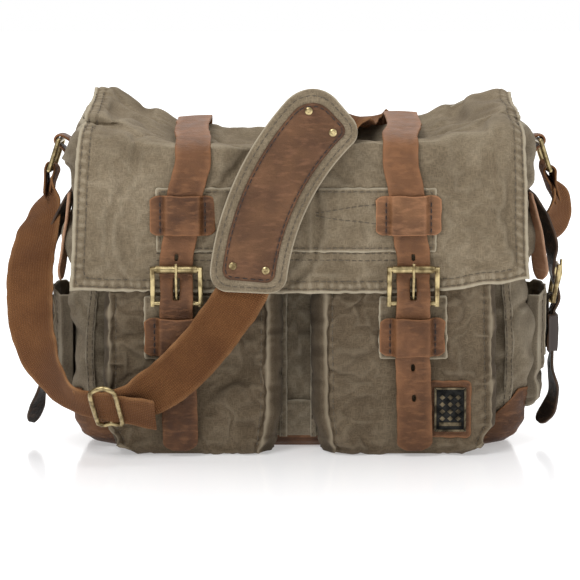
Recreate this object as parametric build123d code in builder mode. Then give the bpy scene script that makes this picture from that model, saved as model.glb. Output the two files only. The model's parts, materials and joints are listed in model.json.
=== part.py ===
"""Canvas messenger bag with leather straps, modelled as its separate sewn, riveted and cast pieces.

Millimetres. +Z is up, +X is to the bag's right as seen from the front, and the front faces -Y.
The origin is on the ground, under the middle of the bag.
"""

import os
from math import atan2, cos, degrees, hypot, radians, sin

from build123d import *

os.makedirs("parts", exist_ok=True)

# ---- body ----
HALF_W = 184.0  # outer face of each side gusset
BACK_Y = 60.0  # outer face of the back panel
FRONT_Y = -36.0  # outer face of the front panel
WALL = 2.5  # canvas with its facing
DIP_Z = 250.0  # top of the flap between its raised corners
CORNER_Z = 284.0  # top of the flap at its corners
DIP_HALF = 114.0  # the top stays low this far from the middle
CORNER_X = 160.0  # where the raised corners peak
BODY_DROP = 5.0  # the body's rim sits this far under the flap's top
BASE_T = 3.0

# ---- front pockets ----
POCKET_Y = -68.0
POCKET_TOP = 152.0
POCKET_INNER = 20.0
POCKET_OUTER = 151.0
GUSSET_T = 2.0

# ---- side pockets ----
SIDE_DEPTH = 16.0
SIDE_Y0, SIDE_Y1 = -22.0, 50.0
SIDE_Z0, SIDE_Z1 = 38.0, 130.0
SIDE_WALL = 1.6

# ---- flap ----
FLAP_HALF = 178.0
FLAP_Y = -73.0  # outer face of the flap's front
FLAP_T = 3.0
FLAP_BOTTOM = 130.0
HINGE_Y, HINGE_Z = 60.0, 248.0

# ---- strap closures: a frame with x across the strap, y up and z out, from the heel bar's height ----
LEFT_X, RIGHT_X = -96.0, 88.0
CLOSURE_Z = 122.0
CLOSURE_Y = POCKET_Y - 2.2
SIDE_CLOSURE_Y = 14.0
SIDE_CLOSURE_Z = 115.0
STRAP_T = 2.4
FRONT_STRAP_W, SIDE_STRAP_W = 26.0, 18.0
PATCH_T = 1.5
LEATHER_T = 2.0
BAR_R = 2.0
EYE_R = 4.0
EYE_Z = PATCH_T + 0.1 + EYE_R
ROLLER_Y, ROLLER_Z = 27.0, 9.9
ROLLER_R = 3.0
RUNNING = 0.06  # radial clearance of pins in their holes
STRAP_Z = 4.3  # back of the strap above the buckle
HUMP_Z = 10.1  # back of the strap where it passes over the heel bar
TUCK_Z = 5.0  # back of the strap inside the lower keeper
HOLE_PITCH = 28.0

# ---- shoulder strap ----
WEB_W, WEB_T = 38.0, 2.4
RING_X, RING_Y, RING_Z = 196.0, 40.0, 243.0
RING_LENGTH = 25.0
RING_LEAN = 18.0  # degrees out from hanging straight down
RING_HALF = 22.0
PAD_W, PAD_T = 60.0, 8.0
PAD_Y = -86.0  # back of the shoulder pad

# ---- zips ----
TOP_ZIP_Y, TOP_ZIP_Z = 12.0, 229.5
TOP_ZIP_HALF = 160.0
BACK_ZIP_Z = 196.0
BACK_ZIP_X, BACK_ZIP_HALF = -20.0, 85.0
CHAIN_W, CHAIN_T = 5.0, 2.0


def finish(piece, name):
    """Labels a finished piece and writes its STEP file."""
    piece.label = name
    export_step(piece, f"parts/{name}.step")


def place(local, *planes):
    """Copies a piece from a closure's own frame onto each closure."""
    with BuildPart() as placed:
        with Locations(*[plane.location for plane in planes]):
            add(local)
    return placed.part


# ======== panels with the saddle-shaped top ========


def saddle_outline(half_width, bottom, drop):
    """An upright outline in x and z whose top dips between raised corners."""
    corner, dip = CORNER_Z - drop, DIP_Z - drop
    with BuildSketch() as outline:
        with BuildLine():
            top = Spline(
                (-half_width, corner - 4),
                (-CORNER_X, corner - 2),
                (-DIP_HALF, dip),
                (0, dip - 1),
                (DIP_HALF, dip),
                (CORNER_X, corner - 2),
                (half_width, corner - 4),
            )
            Polyline(top @ 0, (-half_width, bottom), (half_width, bottom), top @ 1)
        make_face()
    return outline.sketch


def upright_panel(outer_y, thickness, half_width, bottom, drop):
    """A flat panel standing across the bag, from outer_y back by its thickness."""
    with BuildPart() as panel:
        with BuildSketch(Plane.XZ.offset(-outer_y)):
            add(saddle_outline(half_width, bottom, drop))
        extrude(amount=-thickness)
    return panel.part


with BuildPart() as front_panel:
    add(upright_panel(FRONT_Y, WALL, HALF_W - 6, BASE_T + 3, BODY_DROP))
finish(front_panel.part, "front_panel")

with BuildPart() as back_panel:
    add(upright_panel(BACK_Y - WALL, WALL, HALF_W - 6, BASE_T + 3, BODY_DROP))
finish(back_panel.part, "back_panel")


def side_gusset(side):
    """The end wall between the front and back panels, rounded at its upper corners."""
    height = CORNER_Z - BODY_DROP - 6 - (BASE_T + 3)
    with BuildPart() as gusset:
        with BuildSketch(Plane.YZ.offset(side * (HALF_W - WALL / 2))):
            with Locations(((BACK_Y + FRONT_Y) / 2, BASE_T + 3 + height / 2)):
                Rectangle(BACK_Y - FRONT_Y - 2 * WALL - 2, height)
        extrude(amount=WALL / 2, both=True)
        top_corners = gusset.edges().filter_by(Axis.X).group_by(Axis.Z)[-1]
        fillet(top_corners, radius=18)
    return gusset.part


with BuildPart() as side_gusset_left:
    add(side_gusset(-1))
finish(side_gusset_left.part, "side_gusset_left")

with BuildPart() as side_gusset_right:
    add(side_gusset(1))
finish(side_gusset_right.part, "side_gusset_right")

# ======== base ========

with BuildPart() as leather_base:
    with BuildSketch():
        with Locations((0, (BACK_Y + FRONT_Y) / 2)):
            RectangleRounded(2 * HALF_W - 4, BACK_Y - FRONT_Y, 14)
    extrude(amount=BASE_T)
finish(leather_base.part, "leather_base")

with BuildPart() as base_board:
    with BuildSketch(Plane.XY.offset(BASE_T + 3)):
        with Locations((0, (BACK_Y + FRONT_Y) / 2)):
            RectangleRounded(2 * HALF_W - 24, BACK_Y - FRONT_Y - 14, 8)
    extrude(amount=3)
finish(base_board.part, "base_board")

CAP_TOP = 36.0
with BuildPart() as leather_corners:
    for side in (-1, 1):
        with BuildSketch(Plane.YZ.offset(side * (HALF_W + 1.1))):
            with Locations(((BACK_Y + FRONT_Y) / 2, (BASE_T + 0.5 + CAP_TOP) / 2)):
                RectangleRounded(BACK_Y - FRONT_Y - 4, CAP_TOP - BASE_T - 0.5, 8)
        extrude(amount=LEATHER_T / 2, both=True)
finish(leather_corners.part, "leather_corners")

# ======== inside ========

LINING_T = 1.0
with BuildPart() as lining:
    with BuildSketch(Plane.XY.offset(BASE_T + 7)):
        with Locations((0, (BACK_Y + FRONT_Y) / 2)):
            RectangleRounded(2 * HALF_W - 16, BACK_Y - FRONT_Y - 2 * WALL - 2, 6)
    extrude(amount=TOP_ZIP_Z - 10)
    offset(amount=-LINING_T, openings=lining.faces().sort_by(Axis.Z)[-1])
finish(lining.part, "lining")

with BuildPart() as laptop_sleeve:
    with BuildSketch(Plane.XZ.offset(-(BACK_Y - WALL - 6))):
        with Locations((0, 118)):
            RectangleRounded(320, 204, 12)
    extrude(amount=7)
    fillet(laptop_sleeve.faces().sort_by(Axis.Y)[0].edges(), radius=2.5)
finish(laptop_sleeve.part, "laptop_sleeve")

# ======== front pockets ========


def pocket_face(side):
    """The slightly crowned front wall of one front pocket."""
    width = POCKET_OUTER - POCKET_INNER
    with BuildPart() as face:
        with BuildSketch(Plane.XZ.offset(-(POCKET_Y + GUSSET_T))):
            with Locations((side * (POCKET_OUTER + POCKET_INNER) / 2, (POCKET_TOP + 4) / 2)):
                RectangleRounded(width, POCKET_TOP - 4, 6)
        extrude(amount=GUSSET_T)
    return face.part


def pocket_gusset(side):
    """The U-shaped strip that joins a pocket's front wall to the bag."""
    width = POCKET_OUTER - POCKET_INNER - 4
    depth = FRONT_Y - POCKET_Y - GUSSET_T - 0.4
    with BuildPart() as gusset:
        with BuildSketch(Plane.XZ.offset(-FRONT_Y + 0.2)):
            with Locations((side * (POCKET_OUTER + POCKET_INNER) / 2, (POCKET_TOP + 4) / 2)):
                Rectangle(width, POCKET_TOP - 8)
            with Locations((side * (POCKET_OUTER + POCKET_INNER) / 2, POCKET_TOP / 2 + 6)):
                Rectangle(width - 2 * GUSSET_T, POCKET_TOP - 4, mode=Mode.SUBTRACT)
        extrude(amount=depth)
    return gusset.part


with BuildPart() as pocket_face_left:
    add(pocket_face(-1))
finish(pocket_face_left.part, "pocket_face_left")

with BuildPart() as pocket_face_right:
    add(pocket_face(1))
finish(pocket_face_right.part, "pocket_face_right")

with BuildPart() as pocket_gusset_left:
    add(pocket_gusset(-1))
finish(pocket_gusset_left.part, "pocket_gusset_left")

with BuildPart() as pocket_gusset_right:
    add(pocket_gusset(1))
finish(pocket_gusset_right.part, "pocket_gusset_right")

SNAP_R = 8.0
with BuildPart() as snap_plates:
    with BuildSketch(Plane.XZ.offset(-POCKET_Y + 0.1)):
        with Locations((LEFT_X, CLOSURE_Z - 26), (RIGHT_X, CLOSURE_Z - 26)):
            Circle(SNAP_R)
    extrude(amount=0.8)
finish(snap_plates.part, "snap_plates")

BADGE_X, BADGE_Z = 118.0, 37.4
with BuildPart() as badge_patch:
    with BuildSketch(Plane.XZ.offset(-POCKET_Y + 0.1)):
        with Locations((BADGE_X, BADGE_Z)):
            RectangleRounded(30, 42, 3)
    extrude(amount=1.4)
finish(badge_patch.part, "badge_patch")

with BuildPart() as badge_plate:
    with BuildSketch(Plane.XZ.offset(-POCKET_Y + 1.6)):
        with Locations((BADGE_X, BADGE_Z)):
            RectangleRounded(25, 35, 1.5)
    extrude(amount=1.6)
    with BuildSketch(badge_plate.faces().sort_by(Axis.Y)[0]):
        RectangleRounded(21.5, 31.5, 1)
    extrude(amount=-0.6, mode=Mode.SUBTRACT)
finish(badge_plate.part, "badge_plate")

# ======== side pockets ========


def side_pocket(side):
    """An open-topped pouch sewn to the outside of a gusset."""
    inner, outer = HALF_W + 2.3, HALF_W + SIDE_DEPTH
    with BuildPart() as pouch:
        with BuildSketch(Plane.XY.offset(SIDE_Z0)):
            with Locations((side * (inner + outer) / 2, (SIDE_Y0 + SIDE_Y1) / 2)):
                Rectangle(outer - inner, SIDE_Y1 - SIDE_Y0)
        extrude(amount=SIDE_Z1 - SIDE_Z0)
        offset(amount=-SIDE_WALL, openings=pouch.faces().sort_by(Axis.Z)[-1])
    return pouch.part


with BuildPart() as side_pocket_left:
    add(side_pocket(-1))
finish(side_pocket_left.part, "side_pocket_left")

with BuildPart() as side_pocket_right:
    add(side_pocket(1))
finish(side_pocket_right.part, "side_pocket_right")

TAB_TOP, TAB_BOTTOM, TAB_Y = 204.0, 134.0, -19.0


def side_tab(side):
    """A leather tongue that hangs from the gusset above the side pocket's mouth."""
    with BuildPart() as tab:
        with BuildSketch(Plane.XZ.offset(-TAB_Y)):
            with BuildLine():
                Polyline(
                    (side * (HALF_W + 0.6), TAB_TOP),
                    (side * (HALF_W + 5), TAB_TOP - 50),
                    (side * (HALF_W + 6), TAB_BOTTOM),
                )
                offset(amount=LEATHER_T, side=Side.LEFT if side > 0 else Side.RIGHT)
            make_face()
        extrude(amount=11, both=True)
        short_edges = tab.edges().filter_by(lambda edge: edge.length < LEATHER_T + 0.2)
        fillet(short_edges.group_by(Axis.Z)[0], radius=9)
    return tab.part


with BuildPart() as side_tab_left:
    add(side_tab(-1))
finish(side_tab_left.part, "side_tab_left")

with BuildPart() as side_tab_right:
    add(side_tab(1))
finish(side_tab_right.part, "side_tab_right")

# ======== flap ========

with BuildPart() as flap_canvas:
    add(upright_panel(FLAP_Y, FLAP_T, FLAP_HALF, FLAP_BOTTOM, 0))
    with BuildSketch(Plane.XZ.offset(-(FLAP_Y + FLAP_T))):
        add(saddle_outline(FLAP_HALF, FLAP_BOTTOM, 0))
        add(saddle_outline(FLAP_HALF, FLAP_BOTTOM - 8, FLAP_T), mode=Mode.SUBTRACT)
    extrude(amount=-(BACK_Y - 2 - FLAP_Y - FLAP_T))
finish(flap_canvas.part, "flap_canvas")

FLAP_PATCH_T = 1.2
with BuildPart() as flap_patch:
    with BuildSketch(Plane.XZ.offset(-FLAP_Y + 0.02)):
        with Locations((-3, 187)):
            RectangleRounded(218, 50, 3)
    extrude(amount=FLAP_PATCH_T - 0.02)
finish(flap_patch.part, "flap_patch")

# ======== strap closures, in their own frame ========


def closure_patch(width, below, above):
    """The canvas square behind a lower keeper."""
    with BuildPart() as patch:
        with BuildSketch():
            with Locations((0, (above - below) / 2)):
                RectangleRounded(width, above + below, 3)
        extrude(amount=PATCH_T)
    return patch.part


def chape(width, tongue):
    """The short leather tongue that folds round the buckle's heel bar, slotted for the prong."""
    with BuildPart() as piece:
        with BuildSketch(Plane.YZ.offset(-width / 2)):
            with Locations((0, EYE_Z)):
                Circle(EYE_R)
            with Locations((-tongue / 2, PATCH_T + 0.1 + 1.5)):
                Rectangle(tongue, 3)
            with Locations((0, EYE_Z)):
                Circle(BAR_R + RUNNING, mode=Mode.SUBTRACT)
        extrude(amount=width)
        with Locations((0, 0.5, EYE_Z)):
            Box(5.4, 11, 9, mode=Mode.SUBTRACT)
    return piece.part


def keeper(strap_width, low, high, base, strap_front):
    """A leather loop that bridges over the strap, with a sewn tab on each side."""
    half = strap_width / 2 + 1
    roof = strap_front + 0.3
    with BuildPart() as loop:
        with BuildSketch(Plane.XZ.offset(-low)):
            with Locations((0, (base + roof + LEATHER_T) / 2)):
                Rectangle(2 * half + 4, roof + LEATHER_T - base)
            with Locations((0, base + LEATHER_T / 2)):
                Rectangle(2 * half + 22, LEATHER_T)
            with Locations((0, (base + roof) / 2)):
                Rectangle(2 * half, roof - base, mode=Mode.SUBTRACT)
        extrude(amount=-(high - low))
    return loop.part


def strap(width, back_face, holes):
    """A leather strap bent along the line of its back face, with buckle slots."""
    with BuildPart() as piece:
        with BuildSketch(Plane.YZ):
            with BuildLine():
                Polyline(*back_face)
                offset(amount=STRAP_T, side=Side.RIGHT)
            make_face()
        extrude(amount=width / 2, both=True)
        tip = piece.edges().filter_by(Axis.Z).group_by(Axis.Y)[0]
        fillet(tip, radius=width * 0.3)
        for hole in holes:
            with Locations((0, hole, 7)):
                Box(3.6, 9, 16, mode=Mode.SUBTRACT)
        with Locations((0, 7.5, 9)):
            Box(3.6, 19, 12, mode=Mode.SUBTRACT)
    return piece.part


def frame_plane():
    """The buckle frame's own plane, from its heel bar towards its roller."""
    rise = atan2(ROLLER_Z - EYE_Z, ROLLER_Y)
    return Plane(origin=(0, 0, EYE_Z), x_dir=(1, 0, 0), z_dir=(0, -sin(rise), cos(rise)))


FRAME_LENGTH = hypot(ROLLER_Y, ROLLER_Z - EYE_Z)


def buckle_frame(strap_width):
    """Two bars joined by two side rails; the upper bar carries the roller."""
    rail_x = strap_width / 2 + 5.5
    with BuildPart() as frame:
        with Locations(frame_plane()):
            with Locations((0, FRAME_LENGTH / 2, 0)):
                with Locations((-rail_x, 0, 0), (rail_x, 0, 0)):
                    Box(4, FRAME_LENGTH + 4, 3.8)
            fillet(frame.edges().filter_by(lambda e: e.length > FRAME_LENGTH), radius=1.4)
            Cylinder(BAR_R, 2 * rail_x, rotation=(0, 90, 0))
            with Locations((0, FRAME_LENGTH, 0)):
                Cylinder(BAR_R, 2 * rail_x, rotation=(0, 90, 0))
    return frame.part


def roller(strap_width):
    """The tube that turns on the buckle's upper bar."""
    length = strap_width + 6
    with BuildPart() as tube:
        with BuildSketch(Plane.YZ.offset(-length / 2)):
            with Locations((ROLLER_Y, ROLLER_Z)):
                Circle(ROLLER_R)
                Circle(BAR_R + RUNNING, mode=Mode.SUBTRACT)
        extrude(amount=length)
    return tube.part


PRONG_R = 1.1
PRONG_RING = 4.0


def prong(bar_radius):
    """The pin that pivots on the heel bar, passes through the strap and rests on the upper bar."""
    rest_z = ROLLER_Z + bar_radius + PRONG_R + 0.15
    with BuildPart() as pin:
        with BuildLine():
            FilletPolyline((0, 1.5, EYE_Z + 2.8), (0, 20, rest_z), (0, ROLLER_Y + 5, rest_z), radius=6)
        with BuildSketch(Plane(origin=(0, 1.5, EYE_Z + 2.8), z_dir=(0, 18.5, rest_z - EYE_Z - 2.8))):
            Circle(PRONG_R)
        sweep()
        with BuildSketch(Plane.YZ.offset(-PRONG_RING / 2)):
            with Locations((0, EYE_Z)):
                Circle(EYE_R - 0.2)
        extrude(amount=PRONG_RING)
        with Locations((0, 0, EYE_Z)):
            Cylinder(BAR_R + RUNNING, 8, rotation=(0, 90, 0), mode=Mode.SUBTRACT)
    return pin.part


def front_closure(x):
    """The frame of a strap closure on a front pocket."""
    return Plane(origin=(x, CLOSURE_Y, CLOSURE_Z), x_dir=(1, 0, 0), z_dir=(0, -1, 0))


def side_closure(side):
    """The frame of a strap closure on a side pocket."""
    origin = (side * (HALF_W + SIDE_DEPTH + 0.3), SIDE_CLOSURE_Y, SIDE_CLOSURE_Z)
    return Plane(origin=origin, x_dir=(0, side, 0), z_dir=(side, 0, 0))


left, right = front_closure(LEFT_X), front_closure(RIGHT_X)
side_left, side_right = side_closure(-1), side_closure(1)

KEEPER_LOW, KEEPER_HIGH = -42.0, -13.0
lower_run = [(20, STRAP_Z), (5, HUMP_Z), (-4, HUMP_Z), (-10, TUCK_Z), (-44, TUCK_Z)]

with BuildPart() as lower_patches:
    add(place(closure_patch(46, 46, 5), left, right))
finish(lower_patches.part, "lower_patches")

with BuildPart() as chapes:
    add(place(chape(22, 36), left, right))
finish(chapes.part, "chapes")

with BuildPart() as lower_keepers:
    loop = keeper(FRONT_STRAP_W, KEEPER_LOW, KEEPER_HIGH, PATCH_T + 0.1, TUCK_Z + STRAP_T)
    add(place(loop, left, right))
finish(lower_keepers.part, "lower_keepers")

with BuildPart() as upper_keepers:
    loop = keeper(FRONT_STRAP_W, 53, 84, 4.1, STRAP_Z + STRAP_T)
    add(place(loop, left, right))
finish(upper_keepers.part, "upper_keepers")

with BuildPart() as snap_magnets:
    with BuildSketch(Plane.XZ.offset(-CLOSURE_Y - 1.1)):
        with Locations((LEFT_X, CLOSURE_Z - 26), (RIGHT_X, CLOSURE_Z - 26)):
            Circle(SNAP_R)
    extrude(amount=1)
finish(snap_magnets.part, "snap_magnets")

fold_y = DIP_Z + 0.3 - CLOSURE_Z
back_end = CLOSURE_Y - (BACK_Y - 10)
front_line = [(fold_y, back_end), (fold_y, STRAP_Z), *lower_run, (-52, 2.2), (4 - CLOSURE_Z, 2.2)]
front_holes = (7.5 + HOLE_PITCH, 7.5 - 2 * HOLE_PITCH, 7.5 - 3 * HOLE_PITCH)

with BuildPart() as strap_left:
    add(place(strap(FRONT_STRAP_W, front_line, front_holes), left))
finish(strap_left.part, "strap_left")

with BuildPart() as strap_right:
    add(place(strap(FRONT_STRAP_W, front_line, front_holes), right))
finish(strap_right.part, "strap_right")

with BuildPart() as side_patches:
    add(place(closure_patch(38, 46, 5), side_left, side_right))
finish(side_patches.part, "side_patches")

with BuildPart() as side_chapes:
    add(place(chape(14, 36), side_left, side_right))
finish(side_chapes.part, "side_chapes")

with BuildPart() as side_keepers:
    loop = keeper(SIDE_STRAP_W, KEEPER_LOW, KEEPER_HIGH, PATCH_T + 0.1, TUCK_Z + STRAP_T)
    add(place(loop, side_left, side_right))
finish(side_keepers.part, "side_keepers")

gusset_face = 0.4 - SIDE_DEPTH
side_line = [(90, gusset_face), (66, gusset_face), (27, STRAP_Z), *lower_run, (-52, 3.2), (-103, 3.2)]

with BuildPart() as side_straps:
    add(place(strap(SIDE_STRAP_W, side_line, (-63,)), side_left, side_right))
finish(side_straps.part, "side_straps")

for tag, plane in (("left", left), ("right", right)):
    finish(place(buckle_frame(FRONT_STRAP_W), plane), f"buckle_frame_{tag}")
    finish(place(roller(FRONT_STRAP_W), plane), f"buckle_roller_{tag}")
    finish(place(prong(ROLLER_R), plane), f"buckle_prong_{tag}")
for tag, plane in (("left", side_left), ("right", side_right)):
    finish(place(buckle_frame(SIDE_STRAP_W), plane), f"side_buckle_{tag}")
    finish(place(prong(BAR_R), plane), f"side_prong_{tag}")

# ======== strap rings and their leather loops ========


def ring_tab(side):
    """A leather loop sewn to the gusset, with the ring's upper bar in its eye."""
    face = HALF_W + 0.1
    with BuildPart() as tab:
        with BuildSketch(Plane.XZ.offset(-(RING_Y - 13))):
            with BuildLine():
                Polyline(
                    (side * face, RING_Z - 48),
                    (side * (face + 3), RING_Z - 48),
                    (side * (face + 3), RING_Z - 6),
                    (side * RING_X, RING_Z - EYE_R - 0.5),
                    (side * RING_X, RING_Z + EYE_R + 0.5),
                    (side * face, RING_Z + EYE_R + 0.5),
                    close=True,
                )
            make_face()
            with Locations((side * RING_X, RING_Z)):
                Circle(EYE_R + 0.5)
                Circle(BAR_R + RUNNING, mode=Mode.SUBTRACT)
        extrude(amount=-26)
    return tab.part


with BuildPart() as ring_tabs:
    add(ring_tab(-1))
    add(ring_tab(1))
finish(ring_tabs.part, "ring_tabs")


def strap_ring(side):
    """A rectangular ring of round bar, hanging outwards from its loop."""
    out, down = sin(radians(RING_LEAN)), -cos(radians(RING_LEAN))
    low = (side * (RING_X + RING_LENGTH * out), RING_Y, RING_Z + RING_LENGTH * down)
    with BuildPart() as ring:
        for x, y, z in ((side * RING_X, RING_Y, RING_Z), low):
            with Locations((x, y, z)):
                Cylinder(BAR_R, 2 * RING_HALF, rotation=(90, 0, 0))
        middle = (side * (RING_X + RING_LENGTH * out / 2), RING_Z + RING_LENGTH * down / 2)
        for end in (-RING_HALF, RING_HALF):
            origin = (middle[0], RING_Y + end, middle[1])
            with Locations(Plane(origin=origin, z_dir=(side * out, 0, down))):
                Cylinder(BAR_R, RING_LENGTH)
            with Locations((side * RING_X, RING_Y + end, RING_Z), (low[0], RING_Y + end, low[2])):
                Sphere(BAR_R)
    return ring.part


finish(strap_ring(-1), "ring_left")
finish(strap_ring(1), "ring_right")

# ======== shoulder strap ========


def webbing(stations):
    """Flat webbing lofted through stations; each has a point and the direction across the webbing."""
    points = [Vector(*point) for point, across in stations]
    with BuildPart() as ribbon:
        for i, (point, across) in enumerate(stations):
            along = points[min(i + 1, len(points) - 1)] - points[max(i - 1, 0)]
            level = Vector(*across)
            level = level - along * (level.dot(along) / along.dot(along))
            with BuildSketch(Plane(origin=point, x_dir=level, z_dir=along)):
                Rectangle(WEB_W, WEB_T)
        loft(ruled=True)
    return ribbon.part


MAIN_RUN = [
    ((-204.5, 40, 201), (0, -1, 0)),
    ((-212, 24, 182), (0.5, -0.85, 0)),
    ((-216, 2, 160), (0.85, -0.5, 0)),
    ((-217, -24, 134), (1, -0.2, 0)),
    ((-212, -50, 104), (0.95, -0.4, 0.2)),
    ((-200, -70, 76), (0.7, -0.7, 0.4)),
    ((-184, -84, 54), (0.3, -0.8, 0.5)),
    ((-167, -91, 43), (-0.05, -0.75, 0.65)),
    ((-150, -91.5, 44.2), (-0.1, -0.7, 0.7)),
    ((-133, -92, 46), (-0.15, -0.65, 0.75)),
    ((-116, -92, 54), (-0.35, -0.35, 0.85)),
    ((-96, -91, 68), (-0.5, -0.1, 0.85)),
    ((-74, -90, 90), (-0.7, 0, 0.7)),
    ((-58, -87.5, 112), (-0.8, 0, 0.55)),
    ((-46, -84.75, 128), (-0.92, 0, 0.4)),
    ((-38, -84.75, 150), (-0.92, 0, 0.4)),
    ((-26, -84.75, 186), (-0.93, 0, 0.36)),
    ((-2, -84.75, 226), (-0.85, 0, 0.5)),
    ((20, -83, 255), (-0.8, 0, 0.6)),
    ((33, -72, 269), (-0.9, 0.2, 0.4)),
    ((42, -52, 266), (-1, 0.25, 0)),
    ((52, -20, 259), (-1, 0.25, 0)),
    ((62, 20, 256), (-1, 0.2, 0)),
    ((67, 56, 256), (-1, 0.15, 0)),
]
RIGHT_RUN = [
    ((84, 66, 236), (0.8, 0, 0.6)),
    ((104, 70, 206), (0.75, 0.1, 0.65)),
    ((134, 76, 180), (0.5, 0.3, 0.8)),
    ((166, 80, 164), (0.2, 0.6, 0.75)),
    ((192, 74, 160), (0, 0.9, 0.4)),
    ((211, 58, 174), (0, 1, 0.1)),
    ((212, 45, 196), (0, 1, 0)),
    ((206, 40, 210), (0, 1, 0)),
]

finish(webbing(MAIN_RUN), "webbing_main")
finish(webbing(RIGHT_RUN), "webbing_right")


def pad_shape(width, start, end):
    """A banana-shaped outline in x and z about the pad's curved middle line."""
    with BuildSketch() as outline:
        with BuildLine():
            middle = ThreePointArc((-41, 131), (-24, 205), (31, 279), mode=Mode.PRIVATE)
            kept = add(middle.trim(start, end))
        trace(kept, line_width=width)
        fillet(outline.vertices(), radius=width * 0.3)
    return outline.sketch


with BuildPart() as pad_canvas:
    with BuildSketch(Plane.XZ.offset(-PAD_Y)):
        add(pad_shape(PAD_W, 0, 1))
    extrude(amount=PAD_T)
    fillet(pad_canvas.faces().filter_by(Axis.Y).edges(), radius=2)
finish(pad_canvas.part, "pad_canvas")

with BuildPart() as pad_leather:
    with BuildSketch(Plane.XZ.offset(-PAD_Y + PAD_T + 0.05)):
        add(pad_shape(PAD_W - 17, 0.05, 0.95))
    extrude(amount=LEATHER_T)
finish(pad_leather.part, "pad_leather")

with BuildPart() as pad_rivets:
    with BuildSketch(Plane.XZ.offset(-PAD_Y + PAD_T + 0.1 + LEATHER_T)):
        with Locations((-56, 160), (-30, 151), (8, 264), (29, 250)):
            Circle(3)
    extrude(amount=1.2)
finish(pad_rivets.part, "pad_rivets")

ADJUSTER_AT = Plane(origin=(-150, -91.5, 44.2), x_dir=(-0.1, -0.7, 0.7), z_dir=(-0.04, 0.7, 0.7))
with BuildPart() as adjuster:
    with Locations(ADJUSTER_AT):
        with Locations((-WEB_W / 2 - 4, 0, 0), (WEB_W / 2 + 4, 0, 0)):
            Box(3.4, 26, 11)
        with Locations((0, 0, -4.4)):
            Box(WEB_W + 8, 4, 2.2)
        with Locations((0, -11, 4.4), (0, 11, 4.4)):
            Box(WEB_W + 8, 3, 2.2)
finish(adjuster.part, "adjuster")

# ======== zips ========


def zip_tapes(half_length, tape_w, gap):
    """Two woven tapes on either side of the chain, lying in x and y."""
    with BuildPart() as tapes:
        with BuildSketch():
            offset_y = gap / 2 + tape_w / 2
            with Locations((0, -offset_y), (0, offset_y)):
                Rectangle(2 * half_length, tape_w)
        extrude(amount=0.6, both=True)
    return tapes.part


def zip_chain(half_length):
    """The closed teeth as one bar, with a stop at each end."""
    with BuildPart() as chain:
        Box(2 * half_length - 8, CHAIN_W, CHAIN_T)
        with Locations((-half_length + 2.5, 0, 0), (half_length - 2.5, 0, 0)):
            Box(3, CHAIN_W + 1, CHAIN_T + 1)
    return chain.part


SLIDER_L = 10.0
PIN_R = 0.85
PULL_Z = CHAIN_T / 2 + 3.2


def zip_slider(half_length):
    """A slider that straddles the chain, with a bridge for its pull."""
    with BuildPart() as slider:
        with Locations((-half_length + SLIDER_L, 0, 0)):
            Box(SLIDER_L, CHAIN_W + 4, CHAIN_T + 4)
            Box(SLIDER_L + 1, CHAIN_W + 0.6, CHAIN_T + 0.4, mode=Mode.SUBTRACT)
            with Locations((0, 0, PULL_Z)):
                Box(6, 2.4, 3)
                Cylinder(PIN_R + 0.05, 3, rotation=(90, 0, 0), mode=Mode.SUBTRACT)
    return slider.part


def zip_pull(half_length):
    """The pull tab with a cross pin that hinges in the slider's bridge."""
    x = -half_length + SLIDER_L
    with BuildPart() as pull:
        with Locations((x, 0, PULL_Z)):
            Cylinder(PIN_R, 6, rotation=(90, 0, 0))
        with Locations((x + 4, -2.6, PULL_Z), (x + 4, 2.6, PULL_Z)):
            Box(9.5, 1.6, 2 * PIN_R)
        with Locations((x + 17, 0, PULL_Z)):
            Box(18, 7, 2 * PIN_R)
    return pull.part


top_zip = Plane(origin=(0, TOP_ZIP_Y, TOP_ZIP_Z))
back_zip = Plane(origin=(BACK_ZIP_X, BACK_Y + 3.6, BACK_ZIP_Z), x_dir=(1, 0, 0), z_dir=(0, 1, 0))

finish(place(zip_tapes(TOP_ZIP_HALF, 28, CHAIN_W + 5), top_zip), "top_zip_tapes")
finish(place(zip_chain(TOP_ZIP_HALF), top_zip), "top_zip_chain")
finish(place(zip_slider(TOP_ZIP_HALF), top_zip), "top_zip_slider")
finish(place(zip_pull(TOP_ZIP_HALF), top_zip), "top_zip_pull")
finish(place(zip_tapes(BACK_ZIP_HALF, 8, CHAIN_W + 5), back_zip), "back_zip_tapes")
finish(place(zip_chain(BACK_ZIP_HALF), back_zip), "back_zip_chain")
finish(place(zip_slider(BACK_ZIP_HALF), back_zip), "back_zip_slider")
finish(place(zip_pull(BACK_ZIP_HALF), back_zip), "back_zip_pull")
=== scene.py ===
"""Looks for the canvas messenger bag: soft canvas, leather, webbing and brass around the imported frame.
Shapes are worked out in millimetres in the frame's own axes and scaled to metres as each mesh is made."""

import json
import math

import bmesh
import bpy
import numpy as np
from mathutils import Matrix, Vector, noise
from mathutils.bvhtree import BVHTree


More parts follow.
